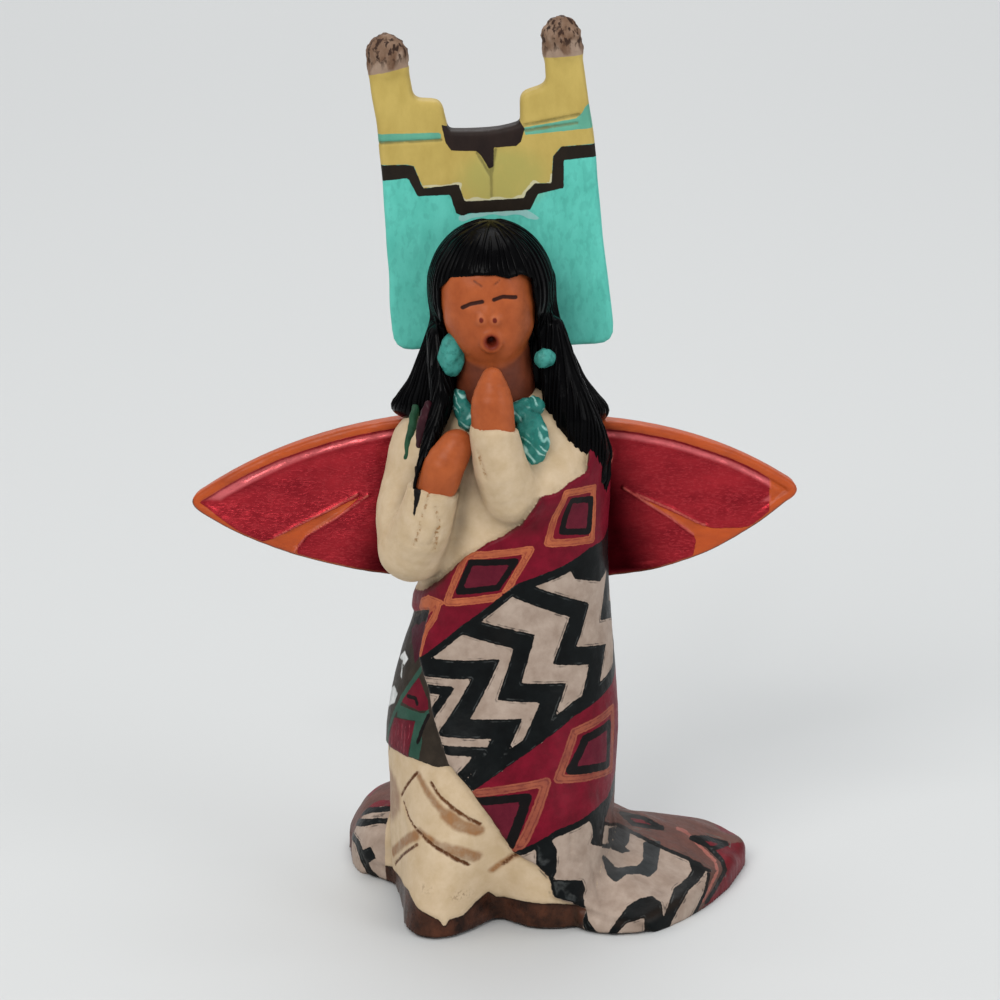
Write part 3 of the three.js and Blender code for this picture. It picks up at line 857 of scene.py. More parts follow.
tip_patch = [(34.2, 5.8), (40, 6), (40, 0), (34, -4), (29.6, -3.4), (30.9, -0.8), (32.6, 0.4),
             (34.1, 2.5), (33.7, 3.8), (32.2, 5.7)]
left_dark = [
    [(-24, 14.4), (-20.0, 15.0), (-15, 15.6), (-15, 13.6), (-20.7, 12.8), (-24, 12.4)],
    [(-24, 9.6), (-21.8, 9.4), (-18.3, 9.9), (-15, 10), (-15, 9.2), (-18.5, 9.1), (-20.7, 8.5), (-24, 8.0)],
    [(-21.0, 5.0), (-19.5, 5.7), (-18.6, 4.1), (-20.1, 3.0), (-20.9, 3.6)],
]
left_bands = [(-24, 9.4), (-22.1, 9.8), (-19.8, 10.8), (-15, 11.5)]
left_low_line = [(-23.5, 7.6), (-21.6, 6.0), (-20.6, 3.4), (-19.7, 1.8), (-17, -0.6)]
left_red = [(-24, 12.4), (-20.7, 12.8), (-15, 13.6), (-15, 12.3), (-18, 12.3), (-22, 11.3), (-24, 11.2)]
left_crimson = [(-24, 11.2), (-22, 11.3), (-18, 12.3), (-15, 12.3), (-15, 11.6), (-18, 11.5),
                (-22.2, 10.3), (-24, 10.1)]
ground_grooves = [[(10.3, 10.1), (10.2, 5.6), (11.8, 5.3)], [(13.4, 4.7), (14.8, -1.7)],
                  [(16.0, -2.4), (19.2, 0.4)]]


def trail_paint(points):
    """Black, dusty red, dark red and grey of the cloth on the ground, as distances."""
    across, lift = oblique(points)
    x, y, _ = points.T
    reach = np.interp(np.arctan2(y, x), trail_turn, trail_reach, period=2 * math.pi)
    rim = reach - np.hypot(x, y)
    behind = y - 12.0
    turn = np.degrees(np.arctan2(y, x))
    wave = np.abs((turn / 18) % 1 - 0.5)
    broad = 9.0 + 14 * fade(4, 14, x)
    gems = insides(across, lift, border_gems)
    black = joined([
        insides(across, lift, floor_blacks), insides(across, lift, left_dark), 0.3 - np.abs(gems),
        0.38 - line_distance(across, lift, left_bands), 0.5 - line_distance(across, lift, left_low_line),
        0.35 - line_distance(across, lift, tip_line), 0.25 - np.abs(outline_distance(across, lift, border)),
    ])
    black = np.maximum(shared(black, -behind), shared(0.7 - np.abs(rim - 8.4 - 5 * wave), behind, 9 - x))
    dusty = np.minimum(insides(across, lift, [border, left_red]), -behind)
    crimson = np.minimum(np.maximum(gems, insides(across, lift, [tip_patch, left_crimson])), -behind)
    far_gems = np.minimum(2.2 - np.abs(rim - 3.6) - 6 * np.abs((turn / 24) % 1 - 0.5),
                          behind - 4 * fade(20, 26, x))
    far_gems = np.maximum(far_gems, shared(3.4 - rim - 0.4 * behind, behind + 0.5, x - 15))
    return {"black": black, "dusty": np.maximum(dusty, np.minimum(broad - rim, behind + 1.5)),
            "pink": np.minimum(0.22 - line_distance(across, lift, pink_line), -behind),
            "dark_red": np.maximum(crimson, far_gems), "grey": insides(across, lift, floor_greys)}


# %% Skirt: hem, creases and strokes, all on the chart
hem_line = [(-40, 2.6), (-24.6, 2.6), (-17.3, 4.3), (-9.9, 5.8), (-7.9, 4.3), (-6.7, 3.8), (-5.7, 3.1),
            (-5.2, 1.9), (-4.9, 3.0), (-3.8, 3.2), (-2.8, 4.6), (-1.5, 5.6), (-0.5, 4.3), (2.3, 4.4),
            (6, 4.3), (9.5, 3.6), (14, 0)]
dark_strokes = [
    [(-14.5, 17.9), (-11.0, 22.6)], [(-8.5, 22.0), (-7.0, 20.4), (-5.4, 19.1), (-3.6, 17.6), (-2.3, 16.6)],
    [(-13.7, 17.2), (-11.5, 15.7), (-8.3, 14.4), (-5.3, 12.6), (-3.4, 10.8)],
    [(-9.1, 12.9), (-11.0, 11.0), (-14.3, 8.2), (-17.9, 5.5)],
    [(0.4, 10.0), (1.9, 11.8)],
]
wide_strokes = [
    ([(-10.6, 22.4), (-9.1, 21.0), (-7.7, 19.7), (-5.8, 18.0)], 0.9),
    ([(-5.8, 18.0), (-4.3, 16.6), (-2.6, 15.7)], 1.6),
    ([(-9.1, 15.0), (-7.1, 14.3), (-5.8, 13.5)], 0.8), ([(-5.8, 13.5), (-4.2, 12.8), (-2.8, 11.8)], 1.5),
    ([(-9.5, 14.1), (-12.5, 11.6), (-15.3, 9.3), (-19, 7)], 1.4),
    ([(-1.0, 9.1), (0.7, 10.6), (2.2, 12.0)], 0.8),
]
# Painted shade down the left side of the skirt as seen from the front.
stain = [(-20, 20), (-16.4, 19.6), (-14.9, 18.1), (-14.7, 15.5), (-18, 12.4), (-24.5, 9.4), (-28.1, 8.6),
         (-26, 16)]


# %% The sash and what hangs from it at the left hip
sash_outline = [(-30, 23.0), (-24.5, 22.8), (-18.9, 23.8), (-15.7, 24.2), (-12.1, 24.5), (-7.9, 24.3),
                (-5.6, 24.9), (-5, 30), (-12, 40), (-12, 47), (-34, 47), (-34, 23)]
sash_cap = [(-21, 42.6), (-12.5, 46.6), (-12.5, 44.7), (-15.8, 43.6), (-17.4, 42.6)]
sash_greens = [
    [(-17.2, 30.9), (-11.4, 31.1), (-10.7, 32.0), (-10.6, 30.6), (-12.2, 29.9), (-17.0, 29.0)],
    [(-12.6, 30.0), (-10.6, 31.4), (-11.2, 28.6), (-10.7, 27.1), (-10.8, 24.6), (-12.6, 24.6)],
]
sash_green_line = [(-13.5, 37.2), (-16.4, 32.4), (-17.6, 29.9), (-19.6, 25.4), (-20.2, 23)]
sash_whites = [
    [(-22.0, 36.4), (-19.5, 38.2), (-17.4, 37.6), (-18.2, 36.4), (-19.4, 36.8)],
    [(-19.4, 36.4), (-18.9, 36.2), (-17.9, 34.4), (-18.6, 34.6)],
    [(-24.0, 30.6), (-20.5, 32.6), (-18.1, 32.2), (-18.6, 30.6), (-21.9, 28.8), (-23.5, 28.9)],
]
sash_crimsons = [[(-13.7, 35.9), (-11.2, 32.9), (-10.8, 31.8), (-12.2, 31.3), (-16.5, 31.5),
                  (-16.2, 32.2)], [(-17.6, 28.7), (-12.6, 29.7), (-12.8, 24.3), (-19.4, 23.8)]]
sash_maroon = [(-20.0, 41.6), (-16.5, 43.4), (-14.6, 43.8), (-14.4, 39.1), (-15.2, 37.4), (-16.4, 39)]
sash_blacks = [[(-19.6, 42.2), (-21.6, 38.6), (-22.4, 35.2)],
               [(-10.6, 31.0), (-11.1, 29.2), (-11.4, 27.0)], [(-15.3, 32.7), (-13.5, 32.8), (-13.0, 32.1)]]


def robe_charts(points):
    """Hem, strokes and sash as distances, positive inside."""
    u, v, _ = chart(points)
    in_front = 26 - np.abs(u)
    hem = np.minimum(read_line(hem_line, u) - v, in_front) * 0.9
    lines = joined(0.22 - line_distance(u, v, path) for path in dark_strokes)
    washes = joined(width / 2 - line_distance(u, v, path) for path, width in wide_strokes)
    flecks = np.maximum(0.7 - np.hypot(u + 7.1, (v - 7.4) * 1.5), 0.8 - np.hypot(u + 3.9, (v - 6.4) * 1.3))
    sash = -outline_distance(u, v, sash_outline)
    green = np.maximum(insides(u, v, sash_greens), 0.4 - line_distance(u, v, sash_green_line))
    sash_black = joined(0.28 - line_distance(u, v, path) for path in sash_blacks)
    threads = 0.1 - np.abs((u * 0.95 + 0.15 * v) % 0.9 - 0.45)
    threads = np.minimum(threads, -outline_distance(u, v, sash_crimsons[1]) - 0.5)
    return {"hem": hem, "line": lines, "wash": washes, "stain": -outline_distance(u, v, stain),
            "sash": sash, "green": green, "white": insides(u, v, sash_whites),
            "crimson": insides(u, v, sash_crimsons), "maroon": insides(u, v, [sash_maroon]),
            "sash_black": np.maximum(sash_black, insides(u, v, [sash_cap])), "threads": threads,
            "flecks": flecks}


# %% Creases in the sleeves and the painted end of a lock, in x and z as seen from the front
sleeve_creases = [
    [(-10.1, 65.6), (-11.0, 62.5), (-12.2, 57.8)], [(-9.2, 63.8), (-8.6, 61.0), (-10.0, 58.0)],
    [(-8.6, 61.0), (-9.4, 56.9)], [(-3.2, 72.0), (-1.9, 68.0)],
]
lock_stroke = [(-12.3, 67.5), (-10.9, 67.5), (-11.5, 64.7), (-12.5, 61.2), (-12.2, 64.7)]


def crease_distance(points):
    best = np.full(len(points), 9.0)
    ahead = (points[:, 1] < -8) & (points[:, 2] > 54)
    part = points[ahead]
    best[ahead] = nearest_line(part[:, 0], part[:, 2], sleeve_creases)
    return best


# %% [markdown]
# ## Putting the robe together
#
# Body, shins, trailing cloth and sleeves melt into one field, as they do in the casting, and the
# strokes that were cut into the clay are taken off it. One mesh then carries every colour, so no
# two paints can leave a gap between them.

# %% The whole robe as one field
knee_melt, trail_melt, sleeve_melt = 2.2, 2.4, 1.6
hem_depth, stroke_depth, sash_height = 0.38, 0.22, 0.35
groove_depth, crease_depth = 0.15, 0.2


def robe_form(points):
    inside = blanket_inside(points)
    shin = smooth_min(*(lump(points, *form) for form in shins), 2.0)
    whole = body_form(points) - blanket_thickness * fade(-0.4, 0.4, inside)
    whole = smooth_min(whole, shin, knee_melt)
    whole = smooth_min(whole, trail_form(points), trail_melt)
    draped = fade(-0.3, 0.3, np.minimum(inside, over_arm(points)))
    whole = smooth_min(whole, sleeves_form(points) - 0.6 * draped, sleeve_melt)
    whole = whole + 0.06 * ripple(points, 7.0, 3) + 0.02 * ripple(points, 2.2, 4)
    return smooth_max(whole, -points[:, 2], 0.15)


def robe_relief(points):
    """How far the skin lies below the plain form: hem step, strokes cut in, sash edge."""
    low = points[:, 2] < 56
    depth = np.zeros(len(points))
    part = points[low]
    charts = robe_charts(part)
    on_skirt = fade(-0.2, 0.2, -blanket_inside(part))
    depth[low] += hem_depth * fade(-0.35, 0.25, charts["hem"]) * on_skirt
    depth[low] += stroke_depth * fade(-0.22, 0.16, charts["line"]) * on_skirt
    depth[low] -= sash_height * fade(-0.3, 0.2, charts["sash"]) * on_skirt
    across, lift = oblique(part)
    grooves = nearest_line(across, lift, ground_grooves)
    depth[low] += groove_depth * fade(0.3, 0.1, grooves)
    depth += crease_depth * fade(0.3, 0.05, crease_distance(points))
    return depth


def carved_robe(points):
    return robe_form(points) + robe_relief(points)


# %% Where each colour of the robe goes
def robe_paint(points):
    """Every colour of the robe, kept to the ground that it belongs on."""
    body = body_form(points)
    on_trail = np.minimum(body - blanket_thickness - 0.35, 13.0 - points[:, 2])
    sleeve_clear = np.maximum(sleeves_form(points) - 0.5, over_arm(points))
    on_blanket = shared(blanket_inside(points), sleeve_clear, -on_trail)
    on_skirt = shared(0.7 - blanket_inside(points), 0.7 - on_trail, 50 - points[:, 2],
                      sleeves_form(points) - 0.3)
    cloth, ground, skirt = blanket_paint(points), trail_paint(points), robe_charts(points)
    on_ground = np.maximum(on_trail, shared(on_blanket, cloth["foot"], 4 - points[:, 1]))
    fields = {key: shared(skirt[key], on_skirt) for key in skirt}
    for key in ("red", "orange", "rust", "inner", "core"):
        fields[key] = shared(cloth[key], on_blanket)
    for key in ("dusty", "pink", "dark_red", "grey"):
        fields[key] = shared(ground[key], on_ground)
    fields["black"] = np.maximum(shared(cloth["black"], on_blanket), shared(ground["black"], on_ground))
    fields["crack"] = shared(0.2 - crease_distance(points), 0.8 - sleeves_form(points))
    fields["lock"] = shared(insides(points[:, 0], points[:, 2], [lock_stroke]), -6 - points[:, 1])
    fields["weave"] = np.maximum(on_blanket, on_trail)
    return fields


# %% Coats of the robe, in the order of painting
robe_coats = [
    coat("", (208, 186, 156), (194, 170, 136), 0.55),
    # Painted shade on the left side of the skirt.
    coat("stain", (120, 88, 74), (152, 120, 100), 0.5, 0.8, 0.0, soft=0.8),
    coat("flecks", (126, 100, 76), (150, 122, 92), 0.5, 0.8, 0.0, soft=0.6, speckle=0.5),
    coat("wash", (108, 68, 40), (162, 118, 78), 0.5, 0.95, 0.0, soft=0.3),
    coat("line", (84, 50, 28), (104, 64, 36), 0.5, 1.0, 0.0, soft=0.12),
    coat("crack", (138, 94, 48), (168, 126, 80), 0.5, 0.95, 0.0, soft=0.12, speckle=0.6),
    coat("lock", (12, 11, 12), (20, 18, 19), 0.4),
    coat("hem", (36, 24, 20), (84, 50, 36), 0.3),
    coat("hem", (30, 20, 17), (44, 28, 22), 0.34, 0.9, 0.1, soft=0.15, line=(0.12, 0.12)),
    coat("sash", (40, 34, 28), (56, 48, 40), 0.45),
    coat("maroon", (74, 24, 38), (60, 22, 32), 0.45),
    coat("crimson", (86, 14, 30), (106, 22, 38), 0.42),
    coat("threads", (150, 60, 70), (120, 40, 52), 0.4, 1.0, 0.2),
    coat("green", (40, 70, 58), (52, 86, 72), 0.45),
    coat("sash_black", (16, 12, 12), (24, 18, 18), 0.42),
    coat("white", (224, 226, 224), (176, 180, 178), 0.4, soft=0.15),
    coat("weave", (178, 160, 146), (152, 133, 119), 0.45),
    coat("dusty", (86, 60, 54), (108, 72, 64), 0.45),
    coat("pink", (168, 104, 92), (140, 84, 76), 0.42, 1.0, 0.2),
    coat("dark_red", (116, 18, 32), (90, 16, 28), 0.4),
    coat("grey", (44, 47, 48), (62, 65, 66), 0.42),
    coat("black", (6, 8, 9), (15, 19, 20), 0.36),
    # A broken pale line just inside the black: partly a painted outline, partly painted sheen along the
    # raised paint edge.
    coat("black", (78, 80, 78), (44, 48, 50), 0.4, 0.9, 0.1, soft=0.07, speckle=2.4, line=(0.3, 0.06)),
    coat("black", (60, 54, 50), (104, 92, 84), 0.42, 0.95, 0.1, soft=0.07, speckle=3.2, line=(-0.22, 0.07)),
    coat("red", (96, 9, 28), (122, 16, 38), 0.4),
    coat("orange", (190, 106, 70), (154, 78, 54), 0.45),
    coat("rust", (158, 86, 64), (132, 66, 54), 0.45),
    coat("orange", (122, 50, 44), (150, 66, 54), 0.42, 0.9, 0.2, soft=0.07, line=(0.26, 0.05)),
    coat("rust", (96, 40, 40), (120, 54, 48), 0.42, 0.9, 0.2, soft=0.07, line=(0.3, 0.05)),
    coat("core", (84, 16, 34), (104, 28, 44), 0.42),
    coat("inner", (12, 9, 10), (20, 16, 17), 0.38),
]
robe_material = painted("painted_robe_and_blanket", robe_coats, wash_and_shade_share=0.7, wander=0.3, gloss=0.1)
robe_corners = ((-26, -24, -0.7), (41, 31, 82))
sculpt("robe_and_blanket", carved_robe, robe_form, robe_paint, robe_corners, 0.4, robe_material)

# %% [markdown]
# ## Face, neck and hands
#
# The head leans a little to the figure's right, so face, hair cap and headdress are modelled in a
# frame of their own that is turned by that lean. The features are small: eyes closed to two dark
# slits, nostrils, and a round open mouth. The hands are mittens pressed together, as in the cast.

# %% The head's own frame
neck_height = 78.0
head_tilt = math.radians(5.5)
tilt_cos, tilt_sin = math.cos(head_tilt), math.sin(head_tilt)


def on_head(points):
    x, y, z = points.T
    z = z - neck_height
    return np.stack([x * tilt_cos + z * tilt_sin, y, z * tilt_cos - x * tilt_sin], axis=1)


# %% Face form
face_middle = (-0.4, -2.6, 12.6)
face_half = (7.0, 8.2, 9.8)
mouth_place = (-0.4, -10.5, 8.7)
mouth_well = [(-0.4, -12.5, 8.85), (-0.4, -10.1, 8.85)]
eye_slits = [[(-4.0, 13.95), (-2.8, 14.4), (-1.1, 14.62)], [(0.55, 14.72), (1.8, 15.02), (3.65, 14.66)]]
nose_bridge = [(-0.5, -9.1, 16), (-0.5, -9.6, 14.0), (-0.55, -10.2, 12.5)]
nostril_sides = [(-1.45, -10.6, 12.1), (0.35, -10.6, 11.95)]
nostril_half = (0.8, 0.75, 0.8)
eye_sockets = [(-2.7, -11.6, 14.5), (2.1, -11.6, 14.8)]
socket_half = (2.2, 1.1, 1.0)
nostrils = [(-1.5, 12.1), (0.4, 11.9)]
frowns = [[(-2.0, 17.6), (-1.0, 16.8)], [(1.6, 17.4), (0.8, 16.8)]]
neck_line = [(-0.4, -2.4, 72), (-0.8, -2.9, 79), (-1.2, -3.4, 86)]


def face_form(points):
    place = on_head(points)
    x, y, z = place.T
    jaw = 1 - 0.08 * fade(14, 8, z) - 0.30 * fade(9.5, 2.5, z)
    narrowed = np.stack([face_middle[0] + (x - face_middle[0]) / jaw, y, z], axis=1)
    skull = lump(narrowed, face_middle, face_half, 2.5)
    bridge = limb(place, nose_bridge, (0.5, 0.8, 1.0))
    nose = shared(bridge, *(lump(place, middle, nostril_half) for middle in nostril_sides))
    head = smooth_min(skull, nose, 0.9)
    sockets = shared(*(lump(place, middle, socket_half) for middle in eye_sockets))
    head = smooth_max(head, -sockets, 0.9)
    across = np.hypot(x - mouth_place[0], (z - mouth_place[2]) * 0.95)
    lips = np.hypot(across - 1.1, y - mouth_place[1]) - 0.55
    head = smooth_min(head, lips, 0.7)
    well = limb(place, mouth_well, (0.85, 0.6), 2)
    return smooth_max(head, -well, 0.3)


# %% Neck and hands
left_hand = [(-9.2, -12.8, 65.4), (-8.0, -13.4, 69.0), (-6.2, -13.0, 72.0)]
right_hand = [(-0.9, -13.9, 73.4), (-1.1, -13.9, 78.4), (-1.1, -13.4, 82.0)]
left_hand_radii = (2.9, 3.0, 2.4)
right_hand_radii = (3.1, 2.95, 1.6)
neck_radii = (5.9, 5.8, 5.0)


def neck_form(points):
    return limb(points, neck_line, neck_radii)


def skin_form(points):
    head = smooth_min(face_form(points), neck_form(points), 0.5)
    left = limb(points, left_hand, left_hand_radii)
    right = limb(points, right_hand, right_hand_radii)
    return np.minimum(head, np.minimum(left, right)) + 0.03 * ripple(points, 3.0, 8)


# %% The lines and spots of the face
def skin_lines(points):
    x, y, z = on_head(points).T
    ahead = -y - 7.0
    eyes = nearest_line(x, z, eye_slits)
    frown = nearest_line(x, z, frowns)
    return eyes, frown, ahead


def carved_skin(points):
    eyes, frown, ahead = skin_lines(points)
    cut = 0.12 * fade(0.34, 0.06, eyes) + 0.08 * fade(0.4, 0.05, frown)
    return skin_form(points) + cut * (ahead > 0)


def skin_paint(points):
    x, _, z = on_head(points).T
    eyes, frown, ahead = skin_lines(points)
    ahead = np.minimum(ahead, z - 3.2)
    spots = np.minimum.reduce([np.hypot(x - a, (z - b) * 0.8) for a, b in nostrils])
    across = np.hypot(x - mouth_place[0], (z - mouth_place[2]) * 0.95)
    # The pale rings round the nostrils are a painted highlight on their rims.
    fields = {"slits": 0.29 - eyes, "frown": 0.14 - frown, "spots": 0.34 - spots,
              "spot_rims": 0.68 - spots, "lips": 1.15 - across,
              "well": 0.55 - np.hypot((x + 0.4) * 1.15, z - 8.95)}
    fields = {key: np.minimum(value, ahead) for key, value in fields.items()}
    # Painted shade down the right side of the face as seen from the front, the side turned from the light.
    fields["shade"] = 1.2 - np.abs(x - 4.9 - 0.1 * (z - 10))
    # Painted shade on the neck, under the chin and the hair.
    fields["neck"] = shared(0.8 - neck_form(points), face_form(points) - 0.35)
    return fields


# %% Painting and making it
skin_coats = [
    coat("", (176, 90, 47), (156, 76, 38), 0.42),
    # Painted shade on the right side of the face.
    coat("shade", (136, 70, 34), (122, 60, 28), 0.42, 0.75, 0.0, soft=1.0),
    # Painted shade: the neck darker than the face, under the chin.
    coat("neck", (112, 55, 34), (88, 41, 25), 0.45, 1.0, 0.0, soft=0.45),
    coat("frown", (120, 62, 36), (106, 52, 30), 0.45, 0.9, 0.0, soft=0.12),
    # Painted highlight: pale rings round the nostrils.
    coat("spot_rims", (196, 114, 74), (182, 98, 60), 0.42, 0.7, 0.0, soft=0.3),
    coat("spots", (110, 34, 22), (90, 24, 16), 0.5, 1.0, 0.0, soft=0.1),
    coat("lips", (124, 44, 26), (104, 34, 20), 0.42, 1.0, 0.1, soft=0.35),
    coat("well", (84, 16, 12), (60, 10, 8), 0.5, 1.0, 0.0, soft=0.2),
    coat("slits", (54, 20, 9), (42, 15, 7), 0.6, 1.0, 0.0, soft=0.08),
]
skin_corners = ((-14, -18, 61), (9, 8, 103))
skin_material = painted("painted_skin", skin_coats, (86, 36, 20), 0.2, wander=0.1, gloss=0.18, bump=0.4)
sculpt("face_and_hands", carved_skin, skin_form, skin_paint, skin_corners, 0.26, skin_material, 0.9)

# %% [markdown]
# ## Hair
#
# The black hair is a cap with a window for the face, a fall over the back and shoulders, and two
# locks in front. The sculptor drew strands into it with a comb. Here the strands are thin rolls:
# lines run down the slope of the hair wherever gravity takes them, kept apart by one pitch, and
# Geometry Nodes give them thickness.

# %% The mass of the hair
hair_sections = [
    [58, 8.6, 8.6, -9, 13.4], [64, 9.4, 10.4, -6, 14.0], [70, 10.6, 14.6, 1.6, 14.2],
    [73, 15.7, 15.8, 6.0, 13.6], [75.5, 14.8, 14.2, 7.8, 12.8], [78, 13.2, 12.4, 8.2, 12.0],
    [81, 12.0, 11.0, 8.0, 11.2], [84, 10.9, 9.5, 7.6, 10.8], [87, 10.0, 8.6, 7.1, 10.4],
    [90.5, 10.0, 7.9, 6.8, 10.1], [94, 9.8, 7.5, 6.5, 9.8],
]
hair_table = section_table(hair_sections)
hair_cap = ((0.1, -0.9, 14.6), (9.0, 10.4, 9.6))
bangs_edge = [(-7.5, 15.8), (-6.6, 16.6), (-5.2, 17.9), (-1.6, 18.3), (1.1, 18.1), (2.9, 17.4),
              (4.7, 17.6), (6.9, 16.4)]
window_half = 6.7
window_depth = -3.2
left_lock = [(-9.0, -2.2, 86), (-8.5, -4.6, 80.5), (-8.3, -7.2, 77), (-9.6, -10.2, 73.2),
             (-10.9, -12.8, 69.4), (-11.9, -15.1, 65.3), (-12.5, -15.8, 61.8)]
lock_depth = np.array([1, 0.45, 1])
left_lock_radii = (1.4, 1.6, 1.5, 1.1, 0.75, 0.5, 0.2)
right_lock = [(7.6, -3.2, 87), (8.8, -4.2, 80), (10.8, -5.4, 74), (13.1, -4.2, 68.5), (14.6, -3.6, 62.8)]
right_lock_radii = (1.6, 2.6, 3.2, 3.0, 0.9)


def hair_form(points):
    place = on_head(points)
    x, y, z = place.T
    edge = read_line(bangs_edge, x)
    beside = np.abs(x - face_middle[0]) - window_half
    ahead = y - window_depth
    window = smooth_max(smooth_max(beside, ahead, 0.5), z - edge, 0.5)
    cap = smooth_max(lump(place, *hair_cap), -window, 0.5)
    across, depth, height = points.T
    left, right, front, back = (np.interp(height, hair_table[:, 0], hair_table[:, k]) for k in (1, 2, 3, 4))
    wide = np.where(across < 0, left, right)
    depth = depth - (back - front) / 2
    deep = (back + front) / 2
    ratio = np.sqrt((across / wide) ** 2 + (depth / deep) ** 2)
    side = np.hypot(across, depth) * (1 - 1 / np.maximum(ratio, 1e-4))
    fall = smooth_max(side, np.maximum(hair_table[0, 0] - height, height - hair_table[-1, 0]), 0.8)
    fall = smooth_max(fall, -np.maximum(beside, ahead), 0.6)
    whole = smooth_min(cap, fall, 1.2)
    flat_lock = limb(points * lock_depth, left_lock * lock_depth, left_lock_radii, 12)
    whole = smooth_min(whole, flat_lock, 0.6)
    return smooth_min(whole, limb(points, right_lock, right_lock_radii), 1.0)


# %% The headdress board, in the head's frame, which the hair lies against
def rounded(corners, steps=4):
    """A closed outline whose corners (u, v, radius) are rounded off."""
    outline = []
    for i, (u, v, radius) in enumerate(corners):
        here = np.array([u, v])
        ends = []
        for other in (corners[i - 1], corners[(i + 1) % len(corners)]):
            way = np.array(other[:2]) - here
            ends.append(here + way / np.linalg.norm(way) * radius)
        for t in np.linspace(0, 1, steps + 1):
            outline.append((1 - t) ** 2 * ends[0] + 2 * t * (1 - t) * here + t ** 2 * ends[1])
    return np.array(outline)


board_centre = 1.1
board_front = 7.4
board_thickness = 3.8
figure_height = 130
board_middle = board_front + board_thickness / 2
horn_top = 46.0
board_outline = rounded([
    (-15.4, 4.4, 3.0), (17.3, 2.2, 3.0), (16.8, 20, 4), (16.9, 32.4, 4),
    (16.2, horn_top, 0.9), (10.8, horn_top, 0.9), (10.7, 41.4, 1.2), (6.8, 40.3, 1.2),
    (6.35, 36.2, 0.6), (1.6, 35.4, 3), (-4.0, 36.1, 0.6), (-4.6, 40.4, 1.4),
    (-8.6, 41.0, 1.2), (-9.0, horn_top, 0.9), (-14.7, horn_top, 0.9), (-14.1, 34, 4), (-14.5, 24, 4),
])
knob_half = (3.05, 2.7, 3.5)
horn_middle = 12.75
knob_across = (-11.8, 13.5)
knob_top = (figure_height - neck_height - (board_centre + horn_middle) * tilt_sin) / tilt_cos
board_scratches = [[(1.6, 30.2), (1.25, 25.8)], [(-0.2, 32.5), (1.5, 28.8)], [(2.5, 32.8), (1.7, 29.5)],
                   [(6.9, 35.9), (15.0, 36.7)], [(7.1, 35.1), (14.6, 35.5)], [(-14, 35.3), (-5.2, 34.9)]]


def board_form(points):
    place = on_head(points)
    x, y, z = place.T
    edge = outline_distance(x, z, board_outline)
    face = np.abs(y - board_middle) - board_thickness / 2
    board = smooth_max(edge, face, 0.9)
    lift = knob_top - knob_half[2]
    knobs = [lump(place, (middle, board_middle, lift), knob_half) for middle in knob_across]
    knobs = np.minimum(*knobs) + 0.1 * ripple(points, 2.4, 12) + 0.1 * ripple(points, 1.0, 13)
    return smooth_min(board, knobs, 1.2) + 0.05 * ripple(points, 8.0, 14)


def carved_board(points):
    x, y, z = on_head(points).T
    scratches = nearest_line(x, z, board_scratches)
    return board_form(points) + 0.22 * fade(0.34, 0.08, scratches) * (y < board_middle)


# %% Following the hair downhill
strand_pitch = 0.72
strand_radius = 0.27
strand_sides = 6
strand_sink = 0.04
strand_step = 0.7


def downhill(points, way):
    """One step down or up the hair, pulled back to a level just under its skin."""
    out = slope(points, hair_form, 0.15)
    out /= np.maximum(np.linalg.norm(out, axis=1), 1e-6)[:, None]
    pull = np.array([0, 0, -1.0]) - out * (-out[:, 2:3])
    steep = np.linalg.norm(pull, axis=1)
    pull /= np.maximum(steep, 1e-6)[:, None]
    moved = points + way * strand_step * pull
    out = slope(moved, hair_form, 0.15)
    size = np.maximum((out ** 2).sum(axis=1), 0.1)
    moved = moved - out * ((hair_form(moved) + strand_sink) / size)[:, None]
    return moved, out[:, 2], steep


def comb(seeds, steps):
    """A line through each seed, as a row of points and a row of flags that say it still runs."""
    halves = []
    for way in (-1, 1):
        place, running = seeds, np.ones(len(seeds), dtype=bool)
        rows, flags = [], []
        for _ in range(steps):
            moved, facing, steep = downhill(place, way)
            stride = np.linalg.norm(moved - place, axis=1)
            running &= (facing > -0.75) & (steep > 0.12) & (stride < 1.6 * strand_step)
            rows.append(moved)
            flags.append(running.copy())
            place = np.where(running[:, None], moved, place)
        halves.append((np.array(rows), np.array(flags)))
    (up, up_runs), (down, down_runs) = halves
    points = np.concatenate([up[::-1], seeds[None], down])
    runs = np.concatenate([up_runs[::-1], np.ones((1, len(seeds)), dtype=bool), down_runs])
    return points.transpose(1, 0, 2), runs.T


# %% Keeping one pitch between the strands
def thin_out(points, runs, pitch):
    """Keep lines one by one wherever they stay a pitch away from the lines kept before."""
    taken, kept = {}, []

    def cell(point):
        return tuple(np.floor(point / pitch).astype(int))

    neighbours = [(a, b, c) for a in (-1, 0, 1) for b in (-1, 0, 1) for c in (-1, 0, 1)]
    for line, run in sorted(zip(points, runs), key=lambda pair: -pair[1].sum()):
        middle = len(line) // 2
        chosen = []
        for way in (range(middle, -1, -1), range(middle + 1, len(line))):
            for i in way:
                if not run[i]:
                    break
                x, y, z = cell(line[i])
                close = [q for a, b, c in neighbours for q in taken.get((x + a, y + b, z + c), [])]
                if close and ((np.array(close) - line[i]) ** 2).sum(axis=1).min() < (0.8 * pitch) ** 2:
                    break
                chosen.append(i)
        chosen.sort()
        if len(chosen) * strand_step < 3:
            continue
        kept.append(line[chosen])
        for i in chosen:
            taken.setdefault(cell(line[i]), []).append(line[i])
    return kept


